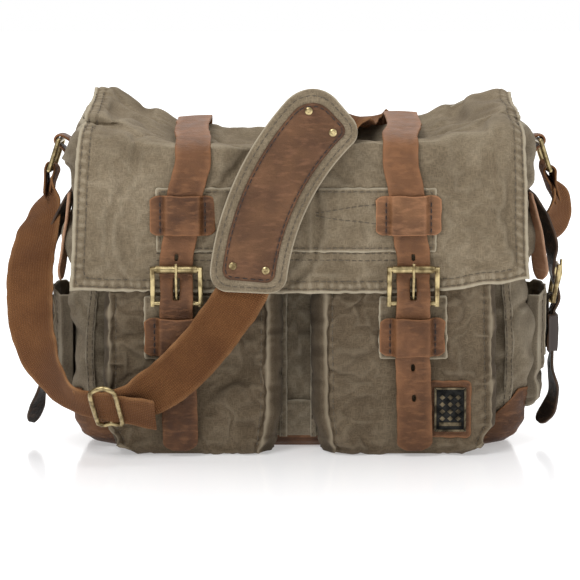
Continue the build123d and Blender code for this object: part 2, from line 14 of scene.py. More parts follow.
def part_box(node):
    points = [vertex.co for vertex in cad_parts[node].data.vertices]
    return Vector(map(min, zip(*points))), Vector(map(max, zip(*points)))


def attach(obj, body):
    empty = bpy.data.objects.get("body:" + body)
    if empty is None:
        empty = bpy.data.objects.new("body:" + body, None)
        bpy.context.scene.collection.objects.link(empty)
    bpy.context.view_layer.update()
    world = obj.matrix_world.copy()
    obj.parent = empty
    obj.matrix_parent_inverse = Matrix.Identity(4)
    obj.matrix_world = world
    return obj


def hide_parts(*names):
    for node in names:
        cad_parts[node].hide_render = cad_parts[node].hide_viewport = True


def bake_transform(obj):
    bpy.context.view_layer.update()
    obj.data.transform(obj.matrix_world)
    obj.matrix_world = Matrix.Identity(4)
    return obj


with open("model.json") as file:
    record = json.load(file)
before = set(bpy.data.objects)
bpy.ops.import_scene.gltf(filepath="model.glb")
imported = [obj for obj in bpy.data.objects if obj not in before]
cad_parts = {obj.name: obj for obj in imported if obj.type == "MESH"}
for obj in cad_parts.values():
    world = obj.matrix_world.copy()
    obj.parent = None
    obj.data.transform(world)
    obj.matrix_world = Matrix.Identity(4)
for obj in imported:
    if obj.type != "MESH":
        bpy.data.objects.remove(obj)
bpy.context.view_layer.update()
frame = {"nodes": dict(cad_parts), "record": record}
RNG = np.random.default_rng(7)


def box(node):
    """A node's lowest and highest corners in millimetres."""
    low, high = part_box(node)
    return low * 1000, high * 1000


def mid(node):
    low, high = box(node)
    return (low + high) / 2


# ======== materials ========


class Nodes:
    """A material's node tree with short calls for the nodes used here."""

    def __init__(self, name):
        self.material = bpy.data.materials.new(name)
        self.material.use_nodes = True
        self.tree = self.material.node_tree
        self.shader = self.tree.nodes["Principled BSDF"]

    def add(self, kind, **settings):
        node = self.tree.nodes.new(kind)
        for key, value in settings.items():
            if key in node.inputs:
                node.inputs[key].default_value = value
            else:
                setattr(node, key, value)
        return node

    def link(self, out, into):
        self.tree.links.new(out, into)

    def coords(self, scale=(1, 1, 1), rotation=(0, 0, 0), source="Object"):
        place = self.add("ShaderNodeTexCoord")
        mapping = self.add("ShaderNodeMapping")
        mapping.inputs["Scale"].default_value = scale
        mapping.inputs["Rotation"].default_value = rotation
        self.link(place.outputs[source], mapping.inputs["Vector"])
        return mapping.outputs["Vector"]

    def noise(self, scale, detail=4, stretch=(1, 1, 1), rotation=(0, 0, 0), source="Object"):
        texture = self.add("ShaderNodeTexNoise", Scale=scale, Detail=detail)
        self.link(self.coords(stretch, rotation, source), texture.inputs["Vector"])
        return texture.outputs["Fac"]

    def wave(self, scale, direction="X", source="UV", distortion=0.0):
        texture = self.add("ShaderNodeTexWave", Scale=scale, Distortion=distortion, bands_direction=direction)
        self.link(self.coords(source=source), texture.inputs["Vector"])
        return texture.outputs["Fac"]

    def ramp(self, fac, stops):
        node = self.add("ShaderNodeValToRGB")
        elements = node.color_ramp.elements
        while len(elements) < len(stops):
            elements.new(0.5)
        for element, (position, colour) in zip(elements, stops):
            element.position = position
            element.color = (*colour, 1) if len(colour) == 3 else colour
        self.link(fac, node.inputs["Fac"])
        return node.outputs["Color"]

    def mix(self, fac, a, b, blend="MIX"):
        node = self.add("ShaderNodeMix", data_type="RGBA", blend_type=blend)
        for socket, value in ((node.inputs[0], fac), (node.inputs[6], a), (node.inputs[7], b)):
            if isinstance(value, (int, float)):
                socket.default_value = value
            elif isinstance(value, tuple):
                socket.default_value = (*value, 1)
            else:
                self.link(value, socket)
        return node.outputs[2]

    def math(self, operation, a, b=0.0, c=0.0):
        node = self.add("ShaderNodeMath", operation=operation)
        for socket, value in zip(node.inputs, (a, b, c)):
            if isinstance(value, (int, float)):
                socket.default_value = value
            else:
                self.link(value, socket)
        return node.outputs[0]

    def wear_light_and_shade(self):
        """Each vertex's rubbed edges, painted light and painted shade: 1 is rubbed light, and painted light on the
        closure straps' tops; -1 is dark, mostly painted shade in stitch grooves, in recesses and under the flap, and
        darker towards the bottom.
        """
        return self.add("ShaderNodeAttribute", attribute_name="wear_light_and_shade").outputs["Fac"]

    def bump(self, layers):
        """Stacks (height, strength, distance in metres) layers on the shader's normal."""
        before = None
        for height, strength, distance in layers:
            node = self.add("ShaderNodeBump", Strength=strength, Distance=distance)
            self.link(height, node.inputs["Height"])
            if before:
                self.link(before, node.inputs["Normal"])
            before = node.outputs["Normal"]
        self.link(before, self.shader.inputs["Normal"])

    def surface(self, colour, roughness, metallic=0.0, sheen=0.0):
        if isinstance(colour, tuple):
            self.shader.inputs["Base Color"].default_value = (*colour, 1)
        else:
            self.link(colour, self.shader.inputs["Base Color"])
        if isinstance(roughness, (int, float)):
            self.shader.inputs["Roughness"].default_value = roughness
        else:
            self.link(roughness, self.shader.inputs["Roughness"])
        self.shader.inputs["Metallic"].default_value = metallic
        self.shader.inputs["Sheen Weight"].default_value = sheen
        self.shader.inputs["Sheen Roughness"].default_value = 0.6


def tint_wear_light_and_shade(n, colour, light, dark):
    """Blends the rubbed light, painted light and painted shade of each vertex into a colour."""
    wear_light_and_shade = n.wear_light_and_shade()
    colour = n.mix(n.math("MAXIMUM", wear_light_and_shade, 0.0), colour, light)
    return n.mix(n.math("MAXIMUM", n.math("MULTIPLY", wear_light_and_shade, -1.0), 0.0), colour, dark)


def canvas(name, low, mid_tone, high, light, dark):
    n = Nodes(name)
    wash = n.noise(13, 6)
    cloudy = n.noise(70, 5)
    warp = n.noise(1250, 2, (1, 1, 0.2))
    weft = n.noise(1250, 2, (0.2, 1, 1))
    twill = n.math("MAXIMUM", warp, weft)
    tone = n.math("ADD", n.math("MULTIPLY", wash, 0.55), n.math("MULTIPLY", cloudy, 0.45))
    colour = n.ramp(tone, [(0.26, low), (0.5, mid_tone), (0.74, high)])
    threads = n.ramp(twill, [(0.44, (0.76, 0.76, 0.76)), (0.66, (1.18, 1.18, 1.18))])
    colour = n.mix(0.9, colour, threads, "MULTIPLY")
    point = n.add("ShaderNodeNewGeometry").outputs["Pointiness"]
    ridge = n.ramp(point, [(0.50, (0, 0, 0)), (0.58, (1, 1, 1))])
    colour = n.mix(n.math("MULTIPLY", ridge, 0.35), colour, light)
    colour = tint_wear_light_and_shade(n, colour, light, dark)
    n.surface(colour, 0.95, sheen=0.03)
    n.shader.inputs["Specular IOR Level"].default_value = 0.18
    n.bump([(cloudy, 0.35, 0.0016), (twill, 0.55, 0.0005)])
    return n.material


def leather(name, low, mid_tone, high, light, dark, rough=0.55, grain=420):
    n = Nodes(name)
    patches = n.noise(22, 5)
    mottle = n.noise(120, 6)
    tone = n.math("ADD", n.math("MULTIPLY", patches, 0.6), n.math("MULTIPLY", mottle, 0.4))
    colour = n.ramp(tone, [(0.36, low), (0.5, mid_tone), (0.64, high)])
    cells = n.add("ShaderNodeTexVoronoi", Scale=grain, feature="DISTANCE_TO_EDGE")
    n.link(n.coords(), cells.inputs["Vector"])
    pebble = n.math("MINIMUM", cells.outputs["Distance"], 0.25)
    creases = n.noise(300, 5, (1, 1, 2.2))
    scuffs = n.ramp(n.noise(95, 8, (1, 1, 3.2)), [(0.50, (0, 0, 0)), (0.68, (1, 1, 1))])
    colour = n.mix(n.math("MULTIPLY", scuffs, 0.42), colour, light)
    stains = n.ramp(n.noise(60, 5), [(0.52, (0, 0, 0)), (0.72, (1, 1, 1))])
    colour = n.mix(n.math("MULTIPLY", stains, 0.40), colour, dark)
    colour = tint_wear_light_and_shade(n, colour, light, dark)
    roughness = n.math("MULTIPLY_ADD", mottle, 0.35, rough - 0.15)
    n.surface(colour, roughness, sheen=0.0)
    n.shader.inputs["Specular IOR Level"].default_value = 0.32
    n.bump([(creases, 0.5, 0.0013), (pebble, 0.4, 0.0009)])
    return n.material


def webbing_material(name, low, high, light, dark):
    """Ribs run across the webbing; the UV map is in metres, u across and v along."""
    n = Nodes(name)
    ribs = n.wave(210, "Y")
    cords = n.wave(150, "X")
    fuzz = n.noise(1300, 3)
    wash = n.noise(28, 4)
    tone = n.math("ADD", n.math("MULTIPLY", wash, 0.6), n.math("MULTIPLY", fuzz, 0.4))
    colour = n.ramp(tone, [(0.38, low), (0.62, high)])
    weave = n.math("MULTIPLY", ribs, cords)
    shade = n.ramp(weave, [(0.0, (0.62, 0.60, 0.58)), (0.75, (1.15, 1.15, 1.15))])
    colour = n.mix(0.8, colour, shade, "MULTIPLY")
    colour = tint_wear_light_and_shade(n, colour, light, dark)
    n.surface(colour, 0.92, sheen=0.03)
    n.shader.inputs["Specular IOR Level"].default_value = 0.2
    n.bump([(weave, 0.9, 0.0007), (fuzz, 0.3, 0.0004)])
    return n.material


def brass(name, low, high, tarnish=0.5, rough=0.34):
    n = Nodes(name)
    patina = n.noise(160, 6)
    scratches = n.noise(900, 2, (1, 0.15, 1))
    colour = n.ramp(patina, [(tarnish - 0.14, low), (tarnish + 0.10, high)])
    roughness = n.math("MULTIPLY_ADD", patina, -0.25, rough + 0.16)
    n.surface(colour, roughness, metallic=1.0)
    n.bump([(patina, 0.2, 0.0003), (scratches, 0.12, 0.0002)])
    return n.material


def thread(name, colour):
    n = Nodes(name)
    twist = n.noise(2500, 1)
    dark = tuple(c * 0.6 for c in colour)
    n.surface(n.ramp(twist, [(0.35, dark), (0.65, colour)]), 0.8, sheen=0.1)
    n.bump([(twist, 0.5, 0.0003)])
    return n.material


CANVAS = canvas("canvas", (0.132, 0.099, 0.062), (0.203, 0.158, 0.102), (0.285, 0.229, 0.155),
                (0.45, 0.39, 0.285), (0.045, 0.032, 0.020))
# A darker copy of the same canvas, painted with shade, for the body, the side pouches, the top and the seams round the
# front pockets.
CANVAS_SHADED = canvas("canvas_shaded", (0.120, 0.092, 0.060), (0.180, 0.143, 0.096), (0.240, 0.197, 0.138),
                     (0.42, 0.37, 0.28), (0.040, 0.030, 0.020))
LEATHER = leather("leather_brown", (0.061, 0.023, 0.008), (0.111, 0.046, 0.017), (0.187, 0.081, 0.034),
                  (0.296, 0.134, 0.057), (0.026, 0.010, 0.006))
# A lighter copy of the brown leather, painted with light, for the right upper keeper.
LEATHER_LIT = leather("leather_lit", (0.104, 0.044, 0.017), (0.161, 0.073, 0.030), (0.235, 0.112, 0.050),
                        (0.400, 0.190, 0.091), (0.052, 0.019, 0.009))
LEATHER_PAD = leather("leather_pad", (0.077, 0.032, 0.013), (0.120, 0.055, 0.023), (0.170, 0.080, 0.036),
                      (0.252, 0.118, 0.059), (0.030, 0.011, 0.006), 0.6, 380)
LEATHER_BLACK = leather("leather_black", (0.007, 0.005, 0.004), (0.014, 0.010, 0.008), (0.028, 0.020, 0.015),
                        (0.10, 0.055, 0.03), (0.004, 0.003, 0.003), 0.5, 380)
LEATHER_TAN = leather("leather_tan", (0.26, 0.12, 0.065), (0.36, 0.18, 0.10), (0.45, 0.245, 0.145),
                      (0.52, 0.32, 0.2), (0.10, 0.045, 0.024), 0.6)
WEBBING = webbing_material("webbing", (0.135, 0.052, 0.017), (0.215, 0.090, 0.030), (0.36, 0.18, 0.075),
                           (0.035, 0.014, 0.006))
BRASS = brass("antique_brass", (0.16, 0.115, 0.055), (0.56, 0.45, 0.235))
BRASS_DARK = brass("dark_brass", (0.045, 0.036, 0.024), (0.20, 0.16, 0.10), 0.55)
STEEL_DARK = brass("blackened_metal", (0.008, 0.008, 0.008), (0.030, 0.029, 0.027), 0.5, 0.45)
THREAD = thread("thread_olive", (0.135, 0.104, 0.066))
THREAD_DARK = thread("thread_dark", (0.028, 0.014, 0.009))
THREAD_BROWN = thread("thread_brown", (0.16, 0.075, 0.035))
# The darkest copy of the same canvas, painted with deeper shade, for the front pockets in the shadow of the flap.
CANVAS_DEEP_SHADE = canvas("canvas_deep_shade", (0.077, 0.054, 0.032), (0.122, 0.089, 0.055), (0.178, 0.136, 0.087),
                    (0.322, 0.267, 0.187), (0.028, 0.019, 0.011))
LINING = canvas("lining_cloth", (0.055, 0.042, 0.028), (0.075, 0.058, 0.040), (0.095, 0.075, 0.052),
                (0.14, 0.11, 0.08), (0.02, 0.015, 0.01))
BOARD = canvas("board", (0.03, 0.03, 0.03), (0.04, 0.04, 0.04), (0.05, 0.05, 0.05), (0.08, 0.08, 0.08), (0.01, 0.01, 0.01))

# ======== mesh helpers ========


def make(name, verts, faces, material, body, replaced=(), uvs=None, wear_light_and_shade=None, smooth=True):
    """A mesh piece from points in millimetres, riding on a body."""
    if not faces:
        raise ValueError(f"{name} has no faces")
    mesh = bpy.data.meshes.new(name)
    mesh.from_pydata([tuple(c * 0.001 for c in v) for v in verts], [], faces)
    mesh.materials.append(material)
    if uvs is not None:
        layer = mesh.uv_layers.new(name="UVMap")
        for loop in mesh.loops:
            layer.data[loop.index].uv = uvs[loop.vertex_index]
    # One attribute carries each vertex's rubbed light, painted light and painted shade.
    if wear_light_and_shade is not None:
        attribute = mesh.attributes.new("wear_light_and_shade", "FLOAT", "POINT")
        attribute.data.foreach_set("value", [float(w) for w in wear_light_and_shade])
    if smooth:
        mesh.polygons.foreach_set("use_smooth", [True] * len(mesh.polygons))
    piece = bpy.data.objects.new(name, mesh)
    bpy.context.scene.collection.objects.link(piece)
    if body:
        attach(piece, body)
    if replaced:
        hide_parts(*replaced)
    return piece


def modify(piece, *modifiers):
    """Adds modifiers, each (type, settings), and applies them to the mesh."""
    for kind, settings in modifiers:
        modifier = piece.modifiers.new(kind.title(), kind)
        for key, value in settings.items():
            setattr(modifier, key, value)
    depsgraph = bpy.context.evaluated_depsgraph_get()
    mesh = bpy.data.meshes.new_from_object(piece.evaluated_get(depsgraph))
    old = piece.data
    piece.modifiers.clear()
    piece.data = mesh
    bpy.data.meshes.remove(old)
    mesh.polygons.foreach_set("use_smooth", [True] * len(mesh.polygons))
    return piece


def face_out(piece, direction=None):
    """Turns a mesh's faces to look along direction, or outwards from the middle of each height."""
    mesh = piece.data
    middle = Vector((0, 0.012, 0))
    total = 0.0
    for face in mesh.polygons:
        away = Vector(direction) if direction else (face.center - middle) * Vector((1, 1, 0))
        total += face.normal.dot(away) * face.area
    if total < 0:
        mesh.flip_normals()
    return piece


def solid(thickness, offset=-1.0):
    return ("SOLIDIFY", {"thickness": thickness * 0.001, "offset": offset})


def smoothed(levels=1):
    return ("SUBSURF", {"levels": levels, "render_levels": levels})


def grid_faces(rows, columns, closed=False, holes=()):
    """Quads of a grid, row by row; closed joins the last column to the first."""
    faces = []
    for r in range(rows - 1):
        for c in range(columns if closed else columns - 1):
            if (r, c) in holes:
                continue
            d = (c + 1) % columns
            faces.append((r * columns + c, r * columns + d, (r + 1) * columns + d, (r + 1) * columns + c))
    return faces


def lerp(a, b, t):
    return a + (b - a) * t


def table(value, points):
    """Piecewise-smooth lookup of value in [(x, y), ...]."""
    if value <= points[0][0]:
        return points[0][1]
    for (x0, y0), (x1, y1) in zip(points, points[1:]):
        if value <= x1:
            t = (value - x0) / (x1 - x0)
            return lerp(y0, y1, t * t * (3 - 2 * t))
    return points[-1][1]


def spline(points, step):
    """Points along a smooth curve through the given points, about step apart."""
    points = [Vector(p) for p in points]
    padded = [points[0] * 2 - points[1], *points, points[-1] * 2 - points[-2]]
    out = []
    for a, b, c, d in zip(padded, padded[1:], padded[2:], padded[3:]):
        count = max(2, int((c - b).length / step))
        for i in range(count):
            t = i / count
            out.append(0.5 * (2 * b + (c - a) * t + (2 * a - 5 * b + 4 * c - d) * t * t
                              + (3 * b - a - 3 * c + d) * t * t * t))
    out.append(points[-1])
    return out


def wrinkle(x, y, z, size, seed=0.0):
    """Smooth noise between about -1 and 1, with features of the given size in millimetres."""
    return noise.noise(Vector((x / size + seed * 7.3, y / size - seed * 3.1, z / size + seed * 5.7))) * 1.6


def crease(x, y, z, size, seed=0.0):
    """Ridged noise, 0 to 1, whose sharp lines look like pressed-in creases."""
    return 1 - min(1.0, abs(wrinkle(x, y, z, size, seed)) * 2.2)


def ribbon(name, stations, width, thickness, material, body, replaced=(), slots=(), step=3.0,
           columns=8, curl=0.0, wave_amount=0.25, taper=None, worn_edge=0.8, tip=0.0, seed=1.0, shade=(0.0, 0.0)):
    """A flat strap along stations of (point, across direction), with real slots cut through it.
    slots lists (distance along, length); tip rounds the far end over that length; shade is painted light or painted
    shade on its ends, as (start, end) amounts: positive lighter, negative darker."""
    path = spline([s[0] for s in stations], step)
    across = spline([Vector(s[1]).normalized() * 100 for s in stations], 1e9 if len(path) == 0 else 1)
    lengths = np.cumsum([0] + [(b - a).length for a, b in zip(path, path[1:])])
    keys = np.cumsum([0] + [(Vector(b[0]) - Vector(a[0])).length for a, b in zip(stations, stations[1:])])
    total = lengths[-1]
    us = [-1 + 2 * i / columns for i in range(columns + 1)]
    if slots:
        half = 1.5 / (width / 2)
        us = sorted([-1, -0.93, -0.6, -half * 1.6, -half, half, half * 1.6, 0.6, 0.93, 1])
    verts, uvs, wear_light_and_shade = [], [], []
    for i, p in enumerate(path):
        along = (path[min(i + 1, len(path) - 1)] - path[max(i - 1, 0)]).normalized()
        place = lengths[i] / total * keys[-1]
        k = min(int(np.searchsorted(keys, place, side="right")) - 1, len(stations) - 2)
        t = (place - keys[k]) / max(keys[k + 1] - keys[k], 1e-6)
        t = t * t * (3 - 2 * t)
        side = Vector(stations[k][1]).normalized().lerp(Vector(stations[k + 1][1]).normalized(), t)
        side = (side - along * side.dot(along)).normalized()
        normal = along.cross(side)
        half_width = width / 2 * (table(lengths[i], taper) if taper else 1)
        left = total - lengths[i]
        if tip and left < tip:
            half_width *= max(0.28, math.sqrt(max(0.0, 1 - (1 - left / tip) ** 2)))
        for u in us:
            edge = abs(u)
            q = p + side * (u * half_width)
            q += normal * (curl * edge ** 3 + wave_amount * wrinkle(q.x, q.y, q.z, 18, seed))
            q += side * ((0.5 * wrinkle(q.x, q.y, q.z, 9, seed + 2) + 0.3 * wrinkle(q.x, q.y, q.z, 4, seed + 3)) * (edge > 0.9))
            verts.append(q)
            uvs.append((u * half_width * 0.001, lengths[i] * 0.001))
            # Rubbed light on the edges, plus painted light or shade ramping from the start to the far end.
            wear_light_and_shade.append(worn_edge * max(0.0, edge - 0.8) * 5 * (0.6 + 0.4 * wrinkle(q.x, q.y, q.z, 11, 5))
                        + lerp(shade[0], shade[1], lengths[i] / total))
    holes = set()
    middle = len(us) // 2 - 1
    for at, length in slots:
        for i in range(len(path) - 1):
            if at <= lengths[i] and lengths[i + 1] <= at + length:
                holes.update((i, middle + k) for k in ((-1, 0, 1) if length > 15 else (0,)))
    piece = make(name, verts, grid_faces(len(path), len(us), holes=holes), material, body, replaced, uvs, wear_light_and_shade)
    return modify(piece, solid(thickness, 0.0), smoothed())


def surface_of(piece):
    """A search tree of a piece's mesh, in millimetres."""
    mesh = piece.data
    verts = [v.co * 1000 for v in mesh.vertices]
    return BVHTree.FromPolygons(verts, [tuple(p.vertices) for p in mesh.polygons])


def stitches(name, tree, points, direction, material, body, length=3.0, gap=1.6, radius=0.42,
             lift=0.12, closed=False):
    """Sewn stitches along a path of points, dropped along direction onto a surface."""
    points = [Vector(p) for p in points]
    if closed:
        points.append(points[0])
    direction = Vector(direction).normalized()
    path = []
    for a, b in zip(points, points[1:]):
        count = max(1, int((b - a).length / 1.0))
        path += [a.lerp(b, i / count) for i in range(count)]
    dropped = []
    for p in path:
        hit, normal, _, _ = tree.ray_cast(p - direction * 60, direction, 260)
        if hit is not None:
            normal = normal if normal.dot(direction) < 0 else -normal
            dropped.append((hit, normal))
    verts, faces = [], []
    travelled, start = 0.0, None
    for (p, n), (q, _) in zip(dropped, dropped[1:]):
        step = (q - p).length
        if step > 6:
            travelled, start = 0.0, None
            continue
        if start is None:
            start = (p, n)
        travelled += step
        if travelled >= length:
            a, m = start
            stitch(verts, faces, a + m * lift, q + n * lift, m, radius)
            travelled, start = -gap, None
        elif travelled < 0:
            start = None
    return make(name, verts, faces, material, body)


def stitch(verts, faces, a, b, normal, radius):
    """One short thread, thick in the middle, as eight triangles and a belt."""
    base = len(verts)
    along = (b - a).normalized()
    side = along.cross(normal).normalized() * radius
    up = normal * radius
    one, two = a.lerp(b, 0.22), a.lerp(b, 0.78)
    verts += [a, one + side, one + up, one - side, one - up, two + side, two + up, two - side, two - up, b]
    for i in range(4):
        j = (i + 1) % 4
        faces += [(base, base + 1 + i, base + 1 + j), (base + 9, base + 5 + j, base + 5 + i),
                  (base + 1 + i, base + 5 + i, base + 5 + j, base + 1 + j)]


def dress(node, material):
    """Gives a CAD node a better material."""
    target = frame["nodes"][node].data
    target.materials.clear()
    target.materials.append(material)

# ======== where things are ========

GROUND = Vector(frame["record"]["mounts"][0]["pos_m"]) * 1000
FLAP_LOW, FLAP_HIGH = box("flap_canvas")
FLAP_FRONT = FLAP_LOW.y
POCKET_FRONT = box("pocket_face_left")[0].y
STRAP_X = {"left": mid("buckle_frame_left").x, "right": mid("buckle_frame_right").x}
HEEL_Z = box("buckle_frame_left")[0].z + 2.4
CLOSURE_Y = POCKET_FRONT - 2.2
FRONT_Y = box("front_panel")[0].y
BACK_Y = box("back_panel")[1].y
SIDE_X = box("side_gusset_right")[1].x

# ======== canvas shell of the body ========

BACK_RIM = [(-178, 283), (-166, 284), (-126, 269), (-98, 257.5), (-52, 253), (0, 252.5), (60, 254.5), (98, 263),
            (121, 270), (148, 280), (166, 284), (178, 282)]
FOLD_LINE = [(-178, 260), (-150, 257), (-120, 250), (-90, 246.5), (-30, 245), (40, 248.5), (100, 251), (130, 257),
             (160, 266), (178, 262)]
HALF_X = [(0, 156), (4, 167), (10, 174), (22, 180), (45, 183.5), (95, 185), (150, 184), (205, 182), (250, 178), (285, 172)]
FRONT_EDGE = [(0, -24), (6, -31), (16, -35.5), (60, -37), (160, -36.5), (240, -33), (285, -28)]
BACK_EDGE = [(0, 49), (6, 56), (16, 60), (60, 62), (160, 61.5), (240, 58), (285, 53)]


def crumple(verts, columns, hold, slack, every=3, cap=5.0, bend=0.5, push=0.0, closed=False, frames=18):
    """Cloth simulation on every third point of a sheet: spare length buckles between the places sewn down.
    hold(row, column) is how firmly a point is sewn, 0 to 1; slack is the spare length as a share."""
    rows = len(verts) // columns
    rs = sorted({*range(0, rows, every), rows - 1})
    cs = list(range(0, columns, every)) if closed else sorted({*range(0, columns, every), columns - 1})
    mesh = bpy.data.meshes.new("slack")
    mesh.from_pydata([verts[r * columns + c] * 0.001 for r in rs for c in cs], [], grid_faces(len(rs), len(cs), closed))
    sheet = bpy.data.objects.new("slack", mesh)
    bpy.context.scene.collection.objects.link(sheet)
    sewn = sheet.vertex_groups.new(name="sewn")
    for i, (r, c) in enumerate((r, c) for r in rs for c in cs):
        sewn.add([i], min(1, max(0, hold(r, c))), "REPLACE")
    cloth = sheet.modifiers.new("cloth", "CLOTH")
    settings = cloth.settings
    settings.quality = 8
    settings.mass = 0.15
    settings.tension_stiffness = settings.compression_stiffness = 25
    settings.shear_stiffness = 12
    settings.bending_stiffness = bend
    settings.air_damping = 2
    settings.vertex_group_mass = "sewn"
    settings.pin_stiffness = 1
    settings.shrink_min = -slack
    settings.use_pressure = push != 0
    settings.uniform_pressure_force = push
    settings.effector_weights.gravity = 0
    cloth.collision_settings.use_collision = False
    cloth.point_cache.frame_start = 1
    cloth.point_cache.frame_end = frames
    for frame_number in range(1, frames + 1):
        bpy.context.scene.frame_set(frame_number)
    settled = sheet.evaluated_get(bpy.context.evaluated_depsgraph_get()).data
    moved = np.array([[*(after.co - before.co)] for after, before in zip(settled.vertices, mesh.vertices)]) * 1000
    moved *= np.minimum(1, cap / np.maximum(np.linalg.norm(moved, axis=1), 1e-6))[:, None]
    moved = moved.reshape(len(rs), len(cs), 3)
    bpy.data.objects.remove(sheet)
    bpy.data.meshes.remove(mesh)
    bpy.context.scene.frame_set(1)
    if closed:
        moved = np.concatenate([moved, moved[:, :1]], axis=1)
        cs = cs + [columns]
    wide = np.stack([[np.interp(range(columns), cs, line[:, k]) for line in moved] for k in range(3)], -1)
    fine = np.stack([[np.interp(range(rows), rs, wide[:, c, k]) for c in range(columns)] for k in range(3)], -1).transpose(1, 0, 2)
    for _ in range(2):
        fine[1:-1] = (fine[:-2] + 2 * fine[1:-1] + fine[2:]) / 4
        fine[:, 1:-1] = (fine[:, :-2] + 2 * fine[:, 1:-1] + fine[:, 2:]) / 4
    return [v + Vector(d) for v, d in zip(verts, fine.reshape(-1, 3))]


def section_point(turn, z, grow=0.0, corner=24.0):
    """A point on the bag's rounded-rectangle section at height z; turn runs 0 to 1 from the front middle, to +X."""
    hx = table(z, HALF_X) + grow
    front, back = table(z, FRONT_EDGE) - grow, table(z, BACK_EDGE) + grow
    hy, cy = (back - front) / 2, (back + front) / 2
    r = min(corner, hx - 5, hy - 5)
    sides = [hx - r, r * math.pi / 2, 2 * (hy - r), r * math.pi / 2, 2 * (hx - r), r * math.pi / 2, 2 * (hy - r),
             r * math.pi / 2, hx - r]
    run = turn * sum(sides)
    k = 0
    while k < 8 and run > sides[k]:
        run -= sides[k]
        k += 1
    corners = {1: (hx - r, -(hy - r), -90), 3: (hx - r, hy - r, 0), 5: (-(hx - r), hy - r, 90), 7: (-(hx - r), -(hy - r), 180)}
    if k in corners:
        x, y, start = corners[k]
        angle = math.radians(start + 90 * run / sides[k])
        return Vector((x + r * math.cos(angle), cy + y + r * math.sin(angle), z)), Vector((math.cos(angle), math.sin(angle), 0))
    straight = {0: ((run, -hy), (0, -1)), 2: ((hx, -(hy - r) + run), (1, 0)), 4: ((hx - r - run, hy), (0, 1)),
                6: ((-hx, hy - r - run), (-1, 0)), 8: ((-(hx - r) + run, -hy), (0, -1))}
    (x, y), n = straight[k]
    return Vector((x, cy + y, z)), Vector((*n, 0))


def rim_height(x, y):
    t = min(1, max(0, (y - FRONT_Y) / (BACK_Y - FRONT_Y)))
    return lerp(table(x, FOLD_LINE), table(x, BACK_RIM), t) - 6


ZIP_LOW_BACK, ZIP_HIGH_BACK = box("back_zip_tapes")
TAB_SEAM_Y = mid("side_tab_right").y
RING_Y = mid("ring_right").y


def bowl_top(x):
    """Height of the leather base's upper edge, higher round the ends."""
    return lerp(17, 48, min(1, max(0, (abs(x) - 146) / 26)))


def seat(p):
    """How firmly the shell is held by what is sewn over it: 1 at the base, the back zip and the side leathers."""
    if p.y > BACK_Y - 10:
        gap = max(ZIP_LOW_BACK.x - p.x, p.x - ZIP_HIGH_BACK.x, ZIP_LOW_BACK.z - p.z, p.z - ZIP_HIGH_BACK.z)
        if gap < 16:
            return 1 - min(1, max(0, (gap - 8) / 8))
    held = 1 - min(1, max(0, (p.z - bowl_top(p.x)) / 9))
    if abs(p.x) > 160:
        held = max(held, 1 - min(1, max(0, (abs(p.y - RING_Y) - 15) / 6, (200 - p.z) / 12)),
                   1 - min(1, max(0, (abs(p.y - TAB_SEAM_Y) - 11) / 6, (192 - p.z) / 8, (p.z - 208) / 8)),
                   1 - min(1, max(0, (abs(p.y - 12) - 10) / 8, (228 - p.z) / 10)))
    return held


def body_point(turn, w):
    """The canvas shell: w runs 0 at the leather base to 1 at the rim."""
    p, n = section_point(turn, 150)
    z = lerp(9, rim_height(p.x, p.y), w)
    p, n = section_point(turn, z)
    side = abs(n.x)
    x, y = p.x, p.y
    fold = 3.4 * wrinkle(x, y, z * 0.8, 42, 1) + 1.5 * wrinkle(x, y, z, 17, 2) - 2.6 * crease(x, y, z, 48, 3) ** 5
    calm = 0.9 * wrinkle(x, y, z, 60, 4) + 0.5 * wrinkle(x, y, z, 20, 5) - 0.9 * crease(x, y, z, 60, 6) ** 6
    d = lerp(calm, fold - 1.5, side) * min(1, (z - 9) / 12)
    upper = max(0, (z - 215) / 60)
    d += side * (3.5 * wrinkle(x, y, z, 26, 8) * upper - 2 * upper)
    d = d * (1 - seat(p)) - 0.4 * seat(p)
    ear = math.exp(-((y + 9) / 15) ** 2) * max(0, 1 - abs(z - 232) / 30) + 0.5 * math.exp(-((y + 12) / 14) ** 2 - ((z - 168) / 16) ** 2)
    d += side ** 0.5 * 13 * ear * (0.9 + 0.5 * wrinkle(x, y, z, 16, 10)) + side * 3 * math.exp(-((z - 100) / 45) ** 2)
    return p + n * d


def body_shell():
    columns, rows = 440, 112
    verts, wear_light_and_shade = [], []
    for r in range(rows):
        w = r / (rows - 1)
        for c in range(columns):
            p = body_point(c / columns, w)
            verts.append(p)
            wear_light_and_shade.append(0.7 if w > 0.985 else 0.10 * wrinkle(p.x, p.y, p.z, 30, 9))

    def sewn(r, c):
        p = verts[r * columns + c]
        w = r / (rows - 1)
        front = p.y < FRONT_Y + 8 and abs(p.x) < 148
        return max(1 - w * 20, 1 - (1 - w) * 30, 0.9 * front, 0.45 * (p.y > BACK_Y - 10), seat(p))

    verts = crumple(verts, columns, sewn, 0.12, every=3, cap=5.0, bend=0.9, closed=True)
    piece = make("body_canvas", verts, grid_faces(rows, columns, closed=True), CANVAS_SHADED, "bag",
                 ("front_panel", "back_panel", "side_gusset_left", "side_gusset_right"), wear_light_and_shade=wear_light_and_shade)
    face_out(piece)
    return modify(piece, solid(2.0))


def base_point(turn, w):
    """The leather bowl: w runs 0 at the edge of its flat bottom to 1 at its upper edge, higher round the ends."""
    p, n = section_point(turn, 40)
    top = bowl_top(p.x)
    z = lerp(0.9, top, w)
    p, n = section_point(turn, z, grow=2.2)
    ribs = max(0, abs(n.x) - 0.3) * max(0, z - 22) / 20
    d = 0.8 * wrinkle(p.x, p.y, z, 30, 11) + 0.4 * wrinkle(p.x, p.y, z, 10, 12) + 0.6 * ribs * math.sin(z * 1.5)
    return p + n * d * min(1, z / 6)


